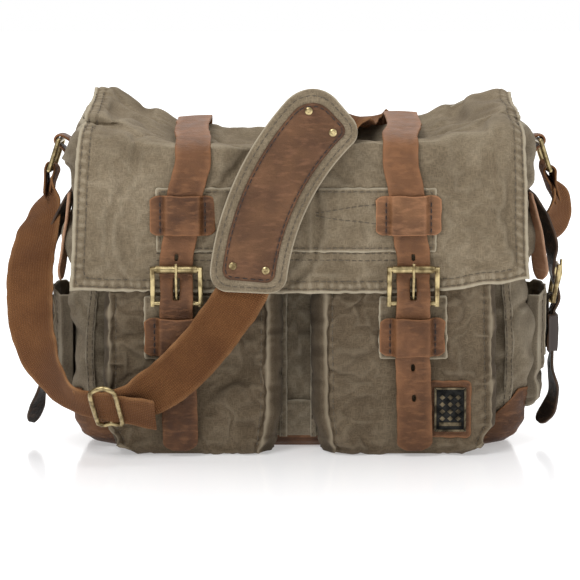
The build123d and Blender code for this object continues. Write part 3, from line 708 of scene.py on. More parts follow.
def leather_bowl():
    columns, rows = 360, 22
    verts, wear_light_and_shade = [], []
    for r in range(rows):
        w = r / (rows - 1)
        for c in range(columns):
            p = base_point(c / columns, w ** 1.3)
            verts.append(p)
            # The upper edge is rubbed light; the leather is darker towards the bottom.
            wear_light_and_shade.append(0.7 if w > 0.97 else 0.25 * wrinkle(p.x, p.y, p.z, 25, 13) - 0.5 * (p.z < 8))
    faces = grid_faces(rows, columns, closed=True)
    inner = []
    for k, pull in enumerate((0.97, 0.6, 0.25)):
        start = len(verts)
        for c in range(columns):
            p = verts[c]
            verts.append(Vector((p.x * pull, 12 + (p.y - 12) * pull, 1.0)))
            # The underside is darker.
            wear_light_and_shade.append(-0.3)
        below = 0 if k == 0 else start - columns
        for c in range(columns):
            d = (c + 1) % columns
            faces.append((start + c, start + d, below + d, below + c))
        inner = list(range(start, start + columns))
    faces.append(tuple(reversed(inner)))
    piece = make("base_leather", verts, faces, LEATHER, "bag", ("leather_base", "leather_corners"), wear_light_and_shade=wear_light_and_shade)
    face_out(piece)
    return modify(piece, solid(1.6))


# ======== flap ========


def strap_nearness(x):
    """1 under a closure strap, 0 away from both."""
    near = min(abs(x - STRAP_X["left"] - 3), abs(x - STRAP_X["right"] + 4))
    return 1 - min(1, max(0, (near - 16) / 16))


FLAP_BOTTOM_EDGE = [(-180, 132), (-100, 130.5), (0, 129.5), (60, 129.5), (110, 131.5), (150, 137), (179, 141)]


def flap_profile(x):
    """The flap's path in y and z at one x, from behind the rim over the top and down the front."""
    rim, fold, low = table(x, BACK_RIM), table(x, FOLD_LINE), table(x, FLAP_BOTTOM_EDGE)
    r = table(abs(x), [(0, 8), (95, 9), (130, 24), (165, 38)])
    sag = table(abs(x), [(0, 4.5), (100, 4), (150, 1)])
    front = FLAP_FRONT + 0.6
    points = [(61.5, rim - 16), (61, rim - 7), (54, rim - 0.5), (30, lerp(rim, fold, 0.3) - sag),
              (-26, lerp(rim, fold, 0.72) - sag * 1.7), (front + r * 1.15 + 3, fold - sag * 0.2), (front + r * 0.32, fold - r * 0.22),
              (front, fold - r * 1.1), (front - 0.4, lerp(fold, low, 0.55)), (front, low)]
    return spline([(0, y, z) for y, z in points], 2.0)


def flap_grid(columns, rows):
    """Undisplaced flap points, outward directions, and distances to the front edge and along the path."""
    out = []
    for c in range(columns):
        s = -1 + 2 * c / (columns - 1)
        path = flap_profile(s * 176)
        run = np.cumsum([0] + [(b - a).length for a, b in zip(path, path[1:])])
        ys = np.interp(np.linspace(0, run[-1], rows), run, [p.y for p in path])
        zs = np.interp(np.linspace(0, run[-1], rows), run, [p.z for p in path])
        left = np.interp(np.linspace(0, 1, rows), [0, 0.5, 0.62, 1], [-168, -171, -174, -179])
        right = np.interp(np.linspace(0, 1, rows), [0, 0.5, 0.62, 1], [174, 175, 175.5, 178.5])
        xs = lerp(left, right, (s + 1) / 2)
        dy, dz = np.gradient(ys), np.gradient(zs)
        size = np.hypot(dy, dz)
        out.append((xs, ys, zs, dz / size, -dy / size, run[-1]))
    return out


def flap_cloth():
    columns, rows = 226, 176
    grid = flap_grid(columns, rows)
    verts, wear_light_and_shade = [], []
    for r in range(rows):
        for c in range(columns):
            xs, ys, zs, ny, nz, total = grid[c]
            x, y, z = xs[r], ys[r], zs[r]
            to_bottom = total * (1 - r / (rows - 1))
            to_side = (c if c < columns / 2 else columns - 1 - c) * 356 / (columns - 1)
            edge = min(to_bottom, to_side)
            along = x if to_bottom < to_side else total * r / (rows - 1)
            free = 1 - strap_nearness(x)
            outer = min(1, max(0, (abs(x) - 100) / 40))
            d = 1.3 * wrinkle(x, y, z, 62, 21) + 0.8 * wrinkle(x, y, z, 24, 22)
            d += outer * 1.9 * wrinkle(x * 1.6, y, z * 0.35, 44, 23) - 1.3 * crease(x, y, z * 0.6, 62, 24) ** 6
            d = d * free - 0.6 * (1 - free)
            pucker = math.sin(along * 0.85 + 2.5 * wrinkle(x, y, z, 30, 25)) * math.exp(-((edge - 6) / 4.5) ** 2)
            hem = 0.55 * (edge < 10.5) - 0.75 * math.exp(-((edge - 3.2) / 0.9) ** 2) - 0.7 * math.exp(-((edge - 9.4) / 0.9) ** 2)
            hem_on = min(1, r / 12)
            d += (hem + 0.38 * pucker) * hem_on
            verts.append(Vector((x, y + ny[r] * d, z + nz[r] * d)))
            # The hem edge is rubbed light and the puckers and the front fold are lighter; the two stitch grooves get
            # painted shade.
            mark = 0.75 * (edge < 1.9) + 0.22 * max(0, pucker) - 0.30 * math.exp(-((edge - 3.2) / 1.1) ** 2)
            mark -= 0.26 * math.exp(-((edge - 9.4) / 1.1) ** 2)
            turning = max(0, 1 - abs(ny[r] + 0.55) / 0.3) * (1 - outer) * (y < 0)
            wear_light_and_shade.append(mark + 0.35 * turning + 0.12 * wrinkle(x, y, z, 40, 26))

    def sewn(r, c):
        p = verts[r * columns + c]
        hem_gap = min(rows - 1 - r, c, columns - 1 - c) / 7
        top = 1 - min(1, max(0, (p.z - 225) / 20))
        return max(1 - r / 14, 0.8 * (1 - hem_gap), strap_nearness(p.x), 0.25 * top)

    verts = crumple(verts, columns, sewn, 0.07, every=3, cap=3.0, bend=0.6)
    piece = make("flap_cloth", verts, grid_faces(rows, columns), CANVAS, "", ("flap_canvas",), wear_light_and_shade=wear_light_and_shade)
    face_out(piece, (0, -1, 0.6))
    return modify(piece, solid(2.4))


def sheet_on(name, tree, low, high, offset, direction, step, material, body, replaced=(), rounding=2.0, rough_edge=0.5,
             thickness=1.2, edge_wear=0.9, bulge=0.0):
    """A rectangular patch laid on a surface. low and high are its corners in x and z (or y and z for a side)."""
    direction = Vector(direction)
    along_x = abs(direction.y) > 0.5
    columns = int((high[0] - low[0]) / step) + 1
    rows = int((high[1] - low[1]) / step) + 1
    verts, wear_light_and_shade, last = [], [], None
    for r in range(rows):
        for c in range(columns):
            u, v = c / (columns - 1), r / (rows - 1)
            a, b = lerp(low[0], high[0], u), lerp(low[1], high[1], v)
            in_a, in_b = min(a - low[0], high[0] - a), min(b - low[1], high[1] - b)
            if in_a < rounding and in_b < rounding:
                gap = rounding - math.hypot(rounding - in_a, rounding - in_b)
                push = max(0, -gap)
                a += push * 0.7 * (1 if u < 0.5 else -1)
                b += push * 0.7 * (1 if v < 0.5 else -1)
            edge = min(in_a, in_b)
            if edge < 0.1:
                a += rough_edge * wrinkle(a, b, 3, 6, 31)
                b += rough_edge * wrinkle(b, a, 5, 6, 32)
            start = Vector((a, 0, b)) if along_x else Vector((0, a, b))
            hit, normal, _, _ = tree.ray_cast(start - direction * 260, direction, 500)
            if hit is None:
                hit = last if last is not None else start
                hit = Vector((a, hit.y, b)) if along_x else Vector((hit.x, a, b))
            last = hit
            lift = offset + bulge * (4 * u * (1 - u)) * (4 * v * (1 - v)) + 0.25 * wrinkle(a, b, 0, 14, 33)
            lift += 0.25 * math.sin((a if in_b < in_a else b) * 0.9) * math.exp(-((edge - 3) / 2.5) ** 2)
            verts.append(hit - direction * lift)
            # The cut edge is rubbed light; the stitch groove a little inside it gets painted shade.
            wear_light_and_shade.append(edge_wear * (edge < step * 0.9) - 0.25 * math.exp(-((edge - 3.2) / 1.2) ** 2) + 0.1 * wrinkle(a, b, 0, 25, 34))
    piece = make(name, verts, grid_faces(rows, columns), material, body, replaced, wear_light_and_shade=wear_light_and_shade)
    face_out(piece, -direction)
    return modify(piece, solid(thickness))


# ======== front pockets ========

POCKET_EDGES = {
    "left": ([(0, -31), (12, -28), (40, -25.5), (130, -25), (152, -25)], [(0, -128), (9, -143), (26, -150), (152, -149)]),
    "right": ([(0, 27), (12, 24), (40, 21), (130, 20), (152, 20)], [(0, 128), (9, 144), (26, 151), (152, 149)]),
}


BADGE_LOW, BADGE_HIGH = box("badge_patch")


def badge_nearness(x, z):
    """1 under the badge, falling to 0 a little way outside it."""
    gap = max(BADGE_LOW.x - x, x - BADGE_HIGH.x, BADGE_LOW.z - z, z - BADGE_HIGH.z)
    return 1 - min(1, max(0, (gap - 2) / 8))


def pocket_point(side, s, t, ring):
    """s runs 0 to 1 from the inner to the outer edge, t up the face; ring 0 is the face and 1 the seam on the bag."""
    inner, outer = POCKET_EDGES[side]
    sign = -1 if side == "left" else 1
    z = lerp(1.0, 150, t)
    x = lerp(table(z, inner), table(z, outer), s)
    crown = math.sin(math.pi * s) ** 0.6 * min(1, 4 * (1 - t) + 0.25) * min(1, t * 5)
    seed = 40 if side == "left" else 50
    deep = 1.7 * wrinkle(x, 0, z * 0.7, 46, seed) + 0.9 * wrinkle(x, 0, z, 19, seed + 1)
    deep -= 2.0 * crease(x, 0, z * 0.7, 55, seed + 2) ** 5 + 0.8 * crease(x, 3, z, 30, seed + 3) ** 6
    low = max(0, 1 - z / 42)
    deep += low * (2.2 * wrinkle(x * 2.0, 0, z * 0.5, 30, seed + 4) + 1.5)
    fade = min(1, 9 * min(s, 1 - s) + 0.05)
    near = 1 - min(1, max(0, (abs(x - STRAP_X[side]) - 24) / 14))
    deep = deep * fade * (1 - near)
    y = POCKET_FRONT + 0.5 * near - 2.0 * crown * (1 - near) - deep * (1 - near) + 5 * max(0, 1 - z / 12) ** 2 + 1.6 * (1 - fade)
    edge = min(s, 1 - s) * abs(table(z, outer) - table(z, inner))
    ridge = 1.5 * math.exp(-(edge / 1.5) ** 2) - 0.7 * math.exp(-((edge - 5.2) / 1.0) ** 2)
    pucker = 0.35 * math.sin(z * 0.8 + 2 * wrinkle(x, 0, z, 25, seed + 5)) * math.exp(-((edge - 5) / 4) ** 2)
    y -= ridge + pucker
    y = lerp(y, POCKET_FRONT + 0.2, badge_nearness(x, z))
    back = ring
    if back > 0:
        reach = 9 if s < 0.5 else 2.5
        x += sign * (-1 if s < 0.5 else 1) * reach * math.sin(back * math.pi / 2)
        y = lerp(y + 1.5, FRONT_Y - 1.5, back ** 1.3) + 1.6 * math.sin(back * math.pi) * wrinkle(x, 1, z, 16, seed + 6)
    return Vector((x, y, z)), edge, pucker


def pocket(side):
    columns, rows, rings = 92, 98, 7
    verts, wear_light_and_shade = [], []
    for r in range(-rings, rows):
        t = max(0, r) / (rows - 1)
        under = max(0, -r) / rings
        for c in range(-rings, columns + rings):
            s = min(1, max(0, c / (columns - 1)))
            ring = max(0, -c, c - columns + 1) / rings
            p, edge, pucker = pocket_point(side, s, t, ring)
            if under:
                p.y = lerp(p.y, FRONT_Y - 1.5, under)
                p.z = 1.0 + 1.6 * math.sin(under * math.pi)
            verts.append(p)
            # The edge ridge is rubbed light and the puckers lighter; the stitch groove and the sides folding back to
            # the bag get painted shade; darker towards the bottom.
            mark = 0.75 * math.exp(-(edge / 1.6) ** 2) * (ring < 0.05) - 0.3 * math.exp(-((edge - 5.2) / 1.2) ** 2)
            wear_light_and_shade.append(mark + 0.3 * max(0, pucker) + 0.12 * wrinkle(p.x, 0, p.z, 30, 60) - 0.45 * (ring > 0.2) - 0.3 * max(0, 1 - p.z / 9))
    width = columns + 2 * rings

    def sewn(r, c):
        p = verts[r * width + c]
        if r < rings or c < 2 or c >= width - 2:
            return 1
        if r > rows + rings - 14:
            return 0.8
        seam = abs(min(c - rings, width - rings - 1 - c)) / 5
        near = 1 - min(1, max(0, (abs(p.x - STRAP_X[side]) - 20) / 12))
        return max(0, 0.85 * (1 - seam), near, 1 - (r - rings) / 4, badge_nearness(p.x, p.z))

    verts = crumple(verts, width, sewn, 0.2, every=2, cap=5.0, bend=0.15)
    # The pockets take the canvas copy with the deepest painted shade.
    piece = make(f"pocket_{side}_cloth", verts, grid_faces(rows + rings, width), CANVAS_DEEP_SHADE, "bag",
                 (f"pocket_face_{side}", f"pocket_gusset_{side}"), wear_light_and_shade=wear_light_and_shade)
    face_out(piece, (0, -1, 0))
    return modify(piece, solid(1.6))


body = body_shell()
base = leather_bowl()
flap = flap_cloth()
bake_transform(flap)
pockets = {side: pocket(side) for side in ("left", "right")}
flap_tree = surface_of(flap)
body_tree = surface_of(body)
pocket_trees = {side: surface_of(pockets[side]) for side in pockets}

# ======== flap details ========


def line(a, b):
    return [Vector(a), Vector(b)]


patch_low, patch_high = box("flap_patch")
flap_patch = sheet_on("flap_patch_cloth", flap_tree, (patch_low.x, patch_low.z), (patch_high.x, patch_high.z), 1.1,
                      (0, 1, 0), 1.6, CANVAS, "flap", ("flap_patch",), edge_wear=0.95)
patch_tree = surface_of(flap_patch)
FRONT = (0, 1, 0)


def border(low, high, inset):
    """A closed rectangle in x and z, in front of the bag."""
    x0, z0, x1, z1 = low[0] + inset, low[1] + inset, high[0] - inset, high[1] - inset
    return [Vector((x, -110, z)) for x, z in ((x0, z0), (x1, z0), (x1, z1), (x0, z1), (x0, z0))]


def flap_seam(name, inset):
    """A line of stitches round the flap's free edges, over its corners and on to the top."""
    left = [Vector((-179 + inset + (z - 132) * 0.058, -110, z)) for z in range(262, 134 + int(inset), -4)]
    low = [Vector((x, -110, table(x, FLAP_BOTTOM_EDGE) + inset)) for x in range(-176 + int(inset), 177 - int(inset), 4)]
    right = [Vector((178.5 - inset - (z - 132) * 0.025, -110, z)) for z in range(142 + int(inset), 266, 4)]
    stitches(name, flap_tree, left + low + right, FRONT, THREAD, "flap")


flap_seam("flap_stitches_outer", 3.4)
flap_seam("flap_stitches_inner", 9.4)
for sign in (-1, 1):
    for inset in (3.6, 9.6):
        edge = [Vector((sign * (174 if sign > 0 else 170) - sign * inset, y, 400)) for y in range(40, -60, -4)]
        stitches(f"flap_top_stitches_{sign + 1}_{int(inset)}", flap_tree, edge, (0, 0, -1), THREAD, "flap")

stitches("flap_patch_stitches", patch_tree, border((patch_low.x, patch_low.z), (patch_high.x, patch_high.z), 3.0),
         FRONT, THREAD, "flap")
centre_z = (patch_low.z + patch_high.z) / 2
for k, bend in enumerate((11, -9)):
    curve = [Vector((x, -100, centre_z + bend * (1 - ((x - 112) / 100) ** 2 * 0.9) + 4)) for x in range(12, 78, 3)]
    stitches(f"flap_eye_stitches_{k}", patch_tree, curve, FRONT, THREAD, "flap")
for k, z in enumerate((patch_low.z - 1.2, patch_low.z - 6.5)):
    run = [Vector((x, -100, z)) for x in range(int(patch_low.x), int(patch_high.x), 5)]
    stitches(f"flap_lower_stitches_{k}", flap_tree, run, FRONT, THREAD, "flap")

# ======== closure straps ========


def closure(side):
    """One leather strap over the flap with its keepers, canvas patch and chape."""
    x = STRAP_X[side]
    top_x, fold_x = (x + 10, x + 13) if side == "left" else (x - 5, x - 10)
    strap_low, strap_high = box(f"strap_{side}")
    width = strap_high.x - strap_low.x
    z = HEEL_Z
    y = CLOSURE_Y
    rim = table(top_x, BACK_RIM)
    across = (1, 0, 0)
    lean = 0.06 if side == "left" else -0.03
    path = [
        (top_x, BACK_Y + 1.8, rim - 14), (top_x, BACK_Y + 0.5, rim - 2), (top_x, BACK_Y - 9, rim + 4.4), (top_x, 26, rim + 3.0),
        (top_x, -22, rim - 2.0), (fold_x, -58, table(fold_x, FOLD_LINE) + 2.6), (fold_x, y - 3.2, table(fold_x, FOLD_LINE) - 4),
        (fold_x, y - 5.2, z + 108), (lerp(fold_x, x, 0.6), y - 5.5, z + 78), (lerp(fold_x, x, 0.7), y - 5.5, z + 55),
        (x, y - 5.5, z + 36), (x, y - 5.7, z + 20), (x, y - 9.6, z + 9), (x, y - 11.3, z + 0.5), (x, y - 8.4, z - 7),
        (x, y - 6.2, z - 13), (x, y - 6.2, z - 28), (x, y - 6.2, z - 43), (x + 0.5, y - 3.6, z - 54), (x + 1.5, y - 3.2, z - 78),
        (x + 2, y - 3.8, z - 100), (x + 2, y - 3.0, strap_low.z + 0.5)]
    stations = [(p, (1, 0, lean)) for p in path]
    smooth_path = spline(path, 3.0)
    run = np.cumsum([0] + [(b - a).length for a, b in zip(smooth_path, smooth_path[1:])])

    def along(height):
        """Distance along the strap's front at which it reaches this height."""
        k = max(i for i, p in enumerate(smooth_path) if p.z >= height and p.y < 0)
        return run[k]

    slots = [(along(z + h + 4.5), 8.5) for h in (33, -51, -79)] + [(along(z + 18), 20)]
    # Both closure straps are painted lighter at the top, where they lie over the flap in the light, and darker down to
    # the hanging tail in shade, the left tail more than the right.
    strap = ribbon(f"strap_{side}_leather", stations, width + 1.5, 2.3, LEATHER, "",
           (f"strap_{side}",), slots, step=2.6, wave_amount=0.35, curl=-0.3, tip=7, seed=3 + x, shade=(0.5, -0.3) if side == "left" else (0.55, -0.05),
           taper=[(0, 1), (run[-1] * 0.45, 1.0), (run[-1] * 0.6, 0.94), (run[-1], 1.02)])
    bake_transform(strap)
    # The right upper keeper takes the leather copy painted with light.
    keeper(f"upper_keeper_{side}", lerp(fold_x, x, 0.62), z + 53, z + 84, y - 4.4, y - 8.6, 25.5, 14.6, "flap",
           LEATHER_LIT if side == "right" else LEATHER)
    keeper(f"lower_keeper_{side}", x, z - 42, z - 12, y - 1.9, y - 9.4, 25.5, 14.8, "flap", LEATHER)
    chape_leather(f"chape_{side}_leather", x, side)


def keeper(name, x, low, high, base_y, roof_y, half, inner, body, material, axis="x", flip=1):
    """A leather loop bulging over a strap, with sewn ears."""
    columns, rows = 44, 20
    verts, wear_light_and_shade = [], []
    for r in range(rows):
        v = r / (rows - 1)
        for c in range(columns):
            u = -1 + 2 * c / (columns - 1)
            a = abs(u) * half
            climb = 1 - min(1, max(0, (a - inner + 1.6) / 3.0))
            climb = climb * climb * (3 - 2 * climb)
            bulge = 0.9 * math.sin(math.pi * v) * climb + 0.5 * (1 - (u * half / inner) ** 2) * climb
            out = lerp(base_y - 1.0, roof_y - 1.0 - bulge, climb)
            ear = max(0, (a - half + 6) / 6)
            z = lerp(low, high, v)
            z += (0.5 - v) * 2 * 3.2 * ear ** 2
            z += 0.5 * wrinkle(u * half, v * 30, x, 13, 61)
            out -= 0.35 * wrinkle(u * half, z, x, 10, 62) + 0.8 * ear ** 2 * wrinkle(x, z, u, 9, 63)
            px = u * half + 0.5 * wrinkle(x, z, 3, 12, 64) * (a > half - 1)
            verts.append(Vector((x + px, out, z)) if axis == "x" else Vector((flip * -out, x + px, z)))
            # The cut edges, ears and the bulge's shoulders are lighter; the groove beside the bulge gets painted shade.
            groove = math.exp(-((a - inner - 2.6) / 1.0) ** 2)
            wear_light_and_shade.append(0.8 * (r in (0, rows - 1) or c in (0, columns - 1)) - 0.5 * groove + 0.35 * ear + 0.2 * wrinkle(px, z, x, 14, 65)
                        + 0.3 * math.exp(-((a - inner + 1.5) / 1.6) ** 2))
    piece = make(name, verts, grid_faces(rows, columns), material, body, wear_light_and_shade=wear_light_and_shade)
    side_out = axis == "x"
    face_out(piece, (0, -1, 0) if side_out else (flip, 0, 0))
    modify(piece, solid(1.9), smoothed())
    tree = surface_of(piece)
    direction = FRONT if side_out else (-flip, 0, 0)
    for k, sign in enumerate((-1, 1)):
        a = x + sign * (inner + 2.9)
        pts = [Vector((a, 0, z)) if side_out else Vector((0, a, z)) for z in np.arange(low + 2, high - 1.5, 2)]
        if not side_out:
            pts = [Vector((flip * 215, p.y, p.z)) for p in pts]
        else:
            pts = [Vector((p.x, -90, p.z)) for p in pts]
        stitches(f"{name}_stitches_{k}", tree, pts, direction, THREAD_DARK, body, 3.2, 1.4, 0.5)
    return piece


def chape_leather(name, x, side, width=20, axis="x", flip=1, body="flap"):
    """The tongue folded round the heel bar, slotted for the prong."""
    local = [(-30, 2.5), (-16, 2.4), (-5, 2.2), (1.5, 2.3), (3.3, 4.0), (3.4, 6.6), (1.2, 8.7), (-2.2, 8.3), (-6, 6.2), (-12, 4.6)]
    pts = []
    for up, out in local:
        if axis == "x":
            pts.append(((x, CLOSURE_Y - out, HEEL_Z + up), (1, 0, 0)))
        else:
            pts.append(((flip * (SIDE_FACE + out), x, SIDE_HEEL + up), (0, flip, 0)))
    replaced = ("chapes",) if side == "left" and axis == "x" else ()
    replaced = ("side_chapes",) if side == "left" and axis == "y" else replaced
    ribbon(name, pts, width, 1.5, LEATHER if axis == "x" else LEATHER_BLACK, body, replaced,
           slots=((27, 22),), step=1.5, columns=6, wave_amount=0.1, worn_edge=0.5)


SIDE_LOW, SIDE_HIGH = box("side_buckle_right")
SIDE_FACE = box("side_patches")[1].x - 1.5
SIDE_HEEL = SIDE_LOW.z + 2.4
SIDE_STRAP_Y = (SIDE_LOW.y + SIDE_HIGH.y) / 2

for side in ("left", "right"):
    x = STRAP_X[side]
    low, high = box("lower_patches")
    sheet_on(f"lower_patch_{side}_cloth", pocket_trees[side], (x - 26, low.z + 1), (x + 27, high.z), 1.2, FRONT, 1.5, CANVAS,
             "flap", ("lower_patches",) if side == "left" else (), edge_wear=1.0)
    closure(side)
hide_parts("upper_keepers")
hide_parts("lower_keepers")

# ======== shoulder strap ========

RING = {side: (box(f"ring_{side}")) for side in ("left", "right")}
WEB_LOW, WEB_HIGH = box("webbing_main")
WEB_W = 38.0


def ring_bars(side):
    """The ring's upper and lower bar centres."""
    low, high = RING[side]
    sign = -1 if side == "left" else 1
    inner, outer = (high.x, low.x) if sign < 0 else (low.x, high.x)
    y = (low.y + high.y) / 2
    return Vector((inner + sign * 2, y, high.z - 2)), Vector((outer - sign * 2, y, low.z + 2))


def wrap(side, end):
    """The webbing's end, folded round the ring's lower bar and box-stitched to itself."""
    sign = -1 if side == "left" else 1
    _, bar = ring_bars(side)
    down = (Vector(end) - bar).normalized()
    out = Vector((0, 1, 0)).cross(down).normalized()
    pts = [bar + down * 26 + out * 1.8, bar + down * 12 + out * 2.6, bar + down * 3 + out * 3.4, bar - down * 2.2 + out * 2.6,
           bar - down * 3.5, bar - down * 2.2 - out * 2.6, bar + down * 3 - out * 3.4, bar + down * 12 - out * 2.6, bar + down * 24 - out * 2.4]
    piece = ribbon(f"webbing_wrap_{side}", [(tuple(p), (0, 1, 0)) for p in pts], WEB_W, 2.0, WEBBING, f"ring_{side}",
                   step=1.5, columns=10, wave_amount=0.2, worn_edge=0.5)
    tree = surface_of(piece)
    for k, sgn in enumerate((-1, 1)):
        rows = [bar + down * 17 + Vector((0, a, 0)) for a in range(-16, 17, 2)]
        stitches(f"wrap_{side}_stitches_{k}", tree, rows, out * sgn, THREAD_BROWN, f"ring_{side}")


left_bar = ring_bars("left")[1]
strap_path = [
    ((left_bar.x - 1.3, left_bar.y - 4, left_bar.z - 12), (0.1, -1, 0)), ((-209, 26, 188), (0.6, -0.8, 0)),
    ((-213, 6, 168), (0.9, -0.45, 0)), ((-216, -18, 142), (1, -0.25, 0)),
    ((-214, -42, 112), (0.98, -0.3, 0.1)), ((-207, -60, 86), (0.85, -0.5, 0.3)),
    ((-192, -76, 62), (0.5, -0.75, 0.45)), ((-174, -86.5, 47.5), (0.05, -0.78, 0.62)), ((-150, -91.5, 44.2), (-0.1, -0.7, 0.7)),
    ((-132, -92, 47), (-0.18, -0.6, 0.76)), ((-116, -92, 54), (-0.4, -0.32, 0.85)), ((-96, -91, 68), (-0.52, -0.1, 0.85)),
    ((-75, -89.6, 90), (-0.68, 0, 0.72)), ((-58, -87.5, 112), (-0.8, 0, 0.58)), ((-46, -84.9, 130), (-0.92, 0, 0.4)),
    ((-38, -84.6, 150), (-0.93, 0, 0.36)), ((-26, -84.6, 186), (-0.93, 0, 0.36)), ((-2, -84.6, 226), (-0.85, 0, 0.5)),
    ((20, -83, 256), (-0.8, 0, 0.6)), ((31, -71, 270), (-0.9, 0.2, 0.4)), ((37, -50, 265), (-1, 0.25, 0)),
    ((41, -20, 259), (-1, 0.15, 0)), ((44, 20, 258.5), (-1, 0.1, 0)), ((48, 50, 260.5), (-1, 0.1, 0)), ((54, 63, 257), (-1, 0.1, 0)),
    ((66, 69.5, 245), (-1, 0.05, 0.3))]
shift = GROUND - Vector((0, 0, 0))
strap_path = [(tuple(Vector(p) + shift), a) for p, a in strap_path]
shoulder = ribbon("shoulder_webbing", strap_path, WEB_W + 1, 2.2, WEBBING, "", ("webbing_main",),
                  step=2.4, columns=16, wave_amount=0.5, worn_edge=0.9, seed=9)
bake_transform(shoulder)
under = [((-176, -84.4, 46), (0.05, -0.78, 0.62)), ((-150, -88.5, 41.6), (-0.1, -0.7, 0.7)), ((-134, -89.6, 40), (-0.12, -0.66, 0.7)),
         ((-120, -92, 38), (-0.14, -0.6, 0.76)), ((-112, -94, 36.5), (-0.14, -0.6, 0.76))]
ribbon("webbing_tail", under, WEB_W - 2, 2.0, WEBBING, "shoulder_strap", step=2.4, columns=12, wave_amount=0.4, worn_edge=0.9, seed=4)
wrap("left", strap_path[0][0])
right_bar = ring_bars("right")[1]
right_path = [((60, 66.5, 253), (1, 0.0, 0.3)), ((78, 68.5, 238), (0.85, 0, 0.5)), ((104, 71, 208), (0.75, 0.1, 0.65)),
              ((134, 78, 178), (0.5, 0.3, 0.8)), ((164, 81, 157), (0.45, 0.5, 0.75)), ((191, 76, 150), (0.62, 0.6, 0.5)),
              ((209, 66, 163), (0.8, 0.58, 0.15)), ((214, 52, 186), (0.62, 0.78, 0)),
              ((right_bar.x + 1.6, right_bar.y, right_bar.z - 8), (0, 1, 0))]
right_web = ribbon("webbing_right_cloth", right_path, WEB_W, 2.2, WEBBING, "", ("webbing_right",), step=2.4, columns=14,
                   wave_amount=0.5, worn_edge=0.9, seed=11)
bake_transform(right_web)
wrap("right", right_path[-2][0])

# ======== shoulder pad ========

PAD_LOW, PAD_HIGH = box("pad_canvas")
ARC = [Vector((-41, 131)), Vector((-24, 205)), Vector((31, 279))]


def arc_through(a, b, c):
    d = 2 * (a.x * (b.y - c.y) + b.x * (c.y - a.y) + c.x * (a.y - b.y))
    sa, sb, sc = a.dot(a), b.dot(b), c.dot(c)
    centre = Vector(((sa * (b.y - c.y) + sb * (c.y - a.y) + sc * (a.y - b.y)) / d,
                     (sa * (c.x - b.x) + sb * (a.x - c.x) + sc * (b.x - a.x)) / d))
    return centre, (a - centre).length


PAD_CENTRE, PAD_RADIUS = arc_through(*ARC)
PAD_START = math.atan2(ARC[0].y - PAD_CENTRE.y, ARC[0].x - PAD_CENTRE.x)
PAD_END = math.atan2(ARC[2].y - PAD_CENTRE.y, ARC[2].x - PAD_CENTRE.x)


def wrap_angle(a):
    return a + 2 * math.pi if a < 0 else a


def rounded(a, b, half_a, half_b, radius):
    """Draws a rectangle's corner in to an arc."""
    over_a, over_b = abs(a) - half_a + radius, abs(b) - half_b + radius
    if over_a <= 0 or over_b <= 0:
        return a, b
    p, q = min(1, over_a / radius), min(1, over_b / radius)
    a = math.copysign(half_a - radius + radius * p * math.sqrt(1 - q * q / 2), a)
    b = math.copysign(half_b - radius + radius * q * math.sqrt(1 - p * p / 2), b)
    return a, b


def pad_plan(u, v, inset=0.0):
    """Plan point of the pad: u across and v along, both -1 to 1, with rounded ends."""
    half_w = 30 - inset
    half_l = 0.5 * abs(wrap_angle(PAD_START) - wrap_angle(PAD_END)) * PAD_RADIUS - 1.0 - inset
    corner = (27 if u > 0 and v > 0 else 15) - inset * 0.8
    x, y = rounded(u * half_w, v * half_l, half_w, half_l, corner)
    x, y = x / half_w, y / half_l
    angle = (wrap_angle(PAD_START) + wrap_angle(PAD_END)) / 2 - y * half_l / PAD_RADIUS
    radius = PAD_RADIUS + x * half_w
    return PAD_CENTRE.x + radius * math.cos(angle), PAD_CENTRE.y + radius * math.sin(angle)


def pad_shell():
    """The padded canvas as a closed, crowned cushion."""
    columns, rows = 40, 96
    verts, faces, wear_light_and_shade = [], [], []
    for face in (-1, 1):
        for r in range(rows):
            for c in range(columns):
                u, v = -1 + 2 * c / (columns - 1), -1 + 2 * r / (rows - 1)
                x, z = pad_plan(u, v)
                edge = min((1 - abs(u)) * 30, (1 - abs(v)) * 83)
                crown = 3.6 * (1 - math.exp(-edge / 4.0)) + 0.25 * wrinkle(x, face, z, 20, 71)
                crown -= 0.9 * math.exp(-((edge - 4.6) / 1.2) ** 2)
                y = (PAD_LOW.y + PAD_HIGH.y) / 2 + face * crown
                verts.append(Vector((x, y, z)))
                # The rim is rubbed light; the stitch groove gets painted shade.
                wear_light_and_shade.append(0.9 * (edge < 1.2) - 0.25 * math.exp(-((edge - 4.6) / 1.0) ** 2))
        faces += [f if face < 0 else tuple(reversed(f)) for f in
                  [tuple(i + (0 if face < 0 else rows * columns) for i in f) for f in grid_faces(rows, columns)]]
    rim = [c for c in range(columns)] + [r * columns + columns - 1 for r in range(1, rows)]
    rim += [(rows - 1) * columns + c for c in range(columns - 2, -1, -1)] + [r * columns for r in range(rows - 2, 0, -1)]
    back = rows * columns
    for a, b in zip(rim, rim[1:] + rim[:1]):
        faces.append((b, a, a + back, b + back))
    piece = make("pad_cushion", verts, faces, CANVAS, "shoulder_strap", ("pad_canvas",), wear_light_and_shade=wear_light_and_shade)
    return modify(piece, smoothed())


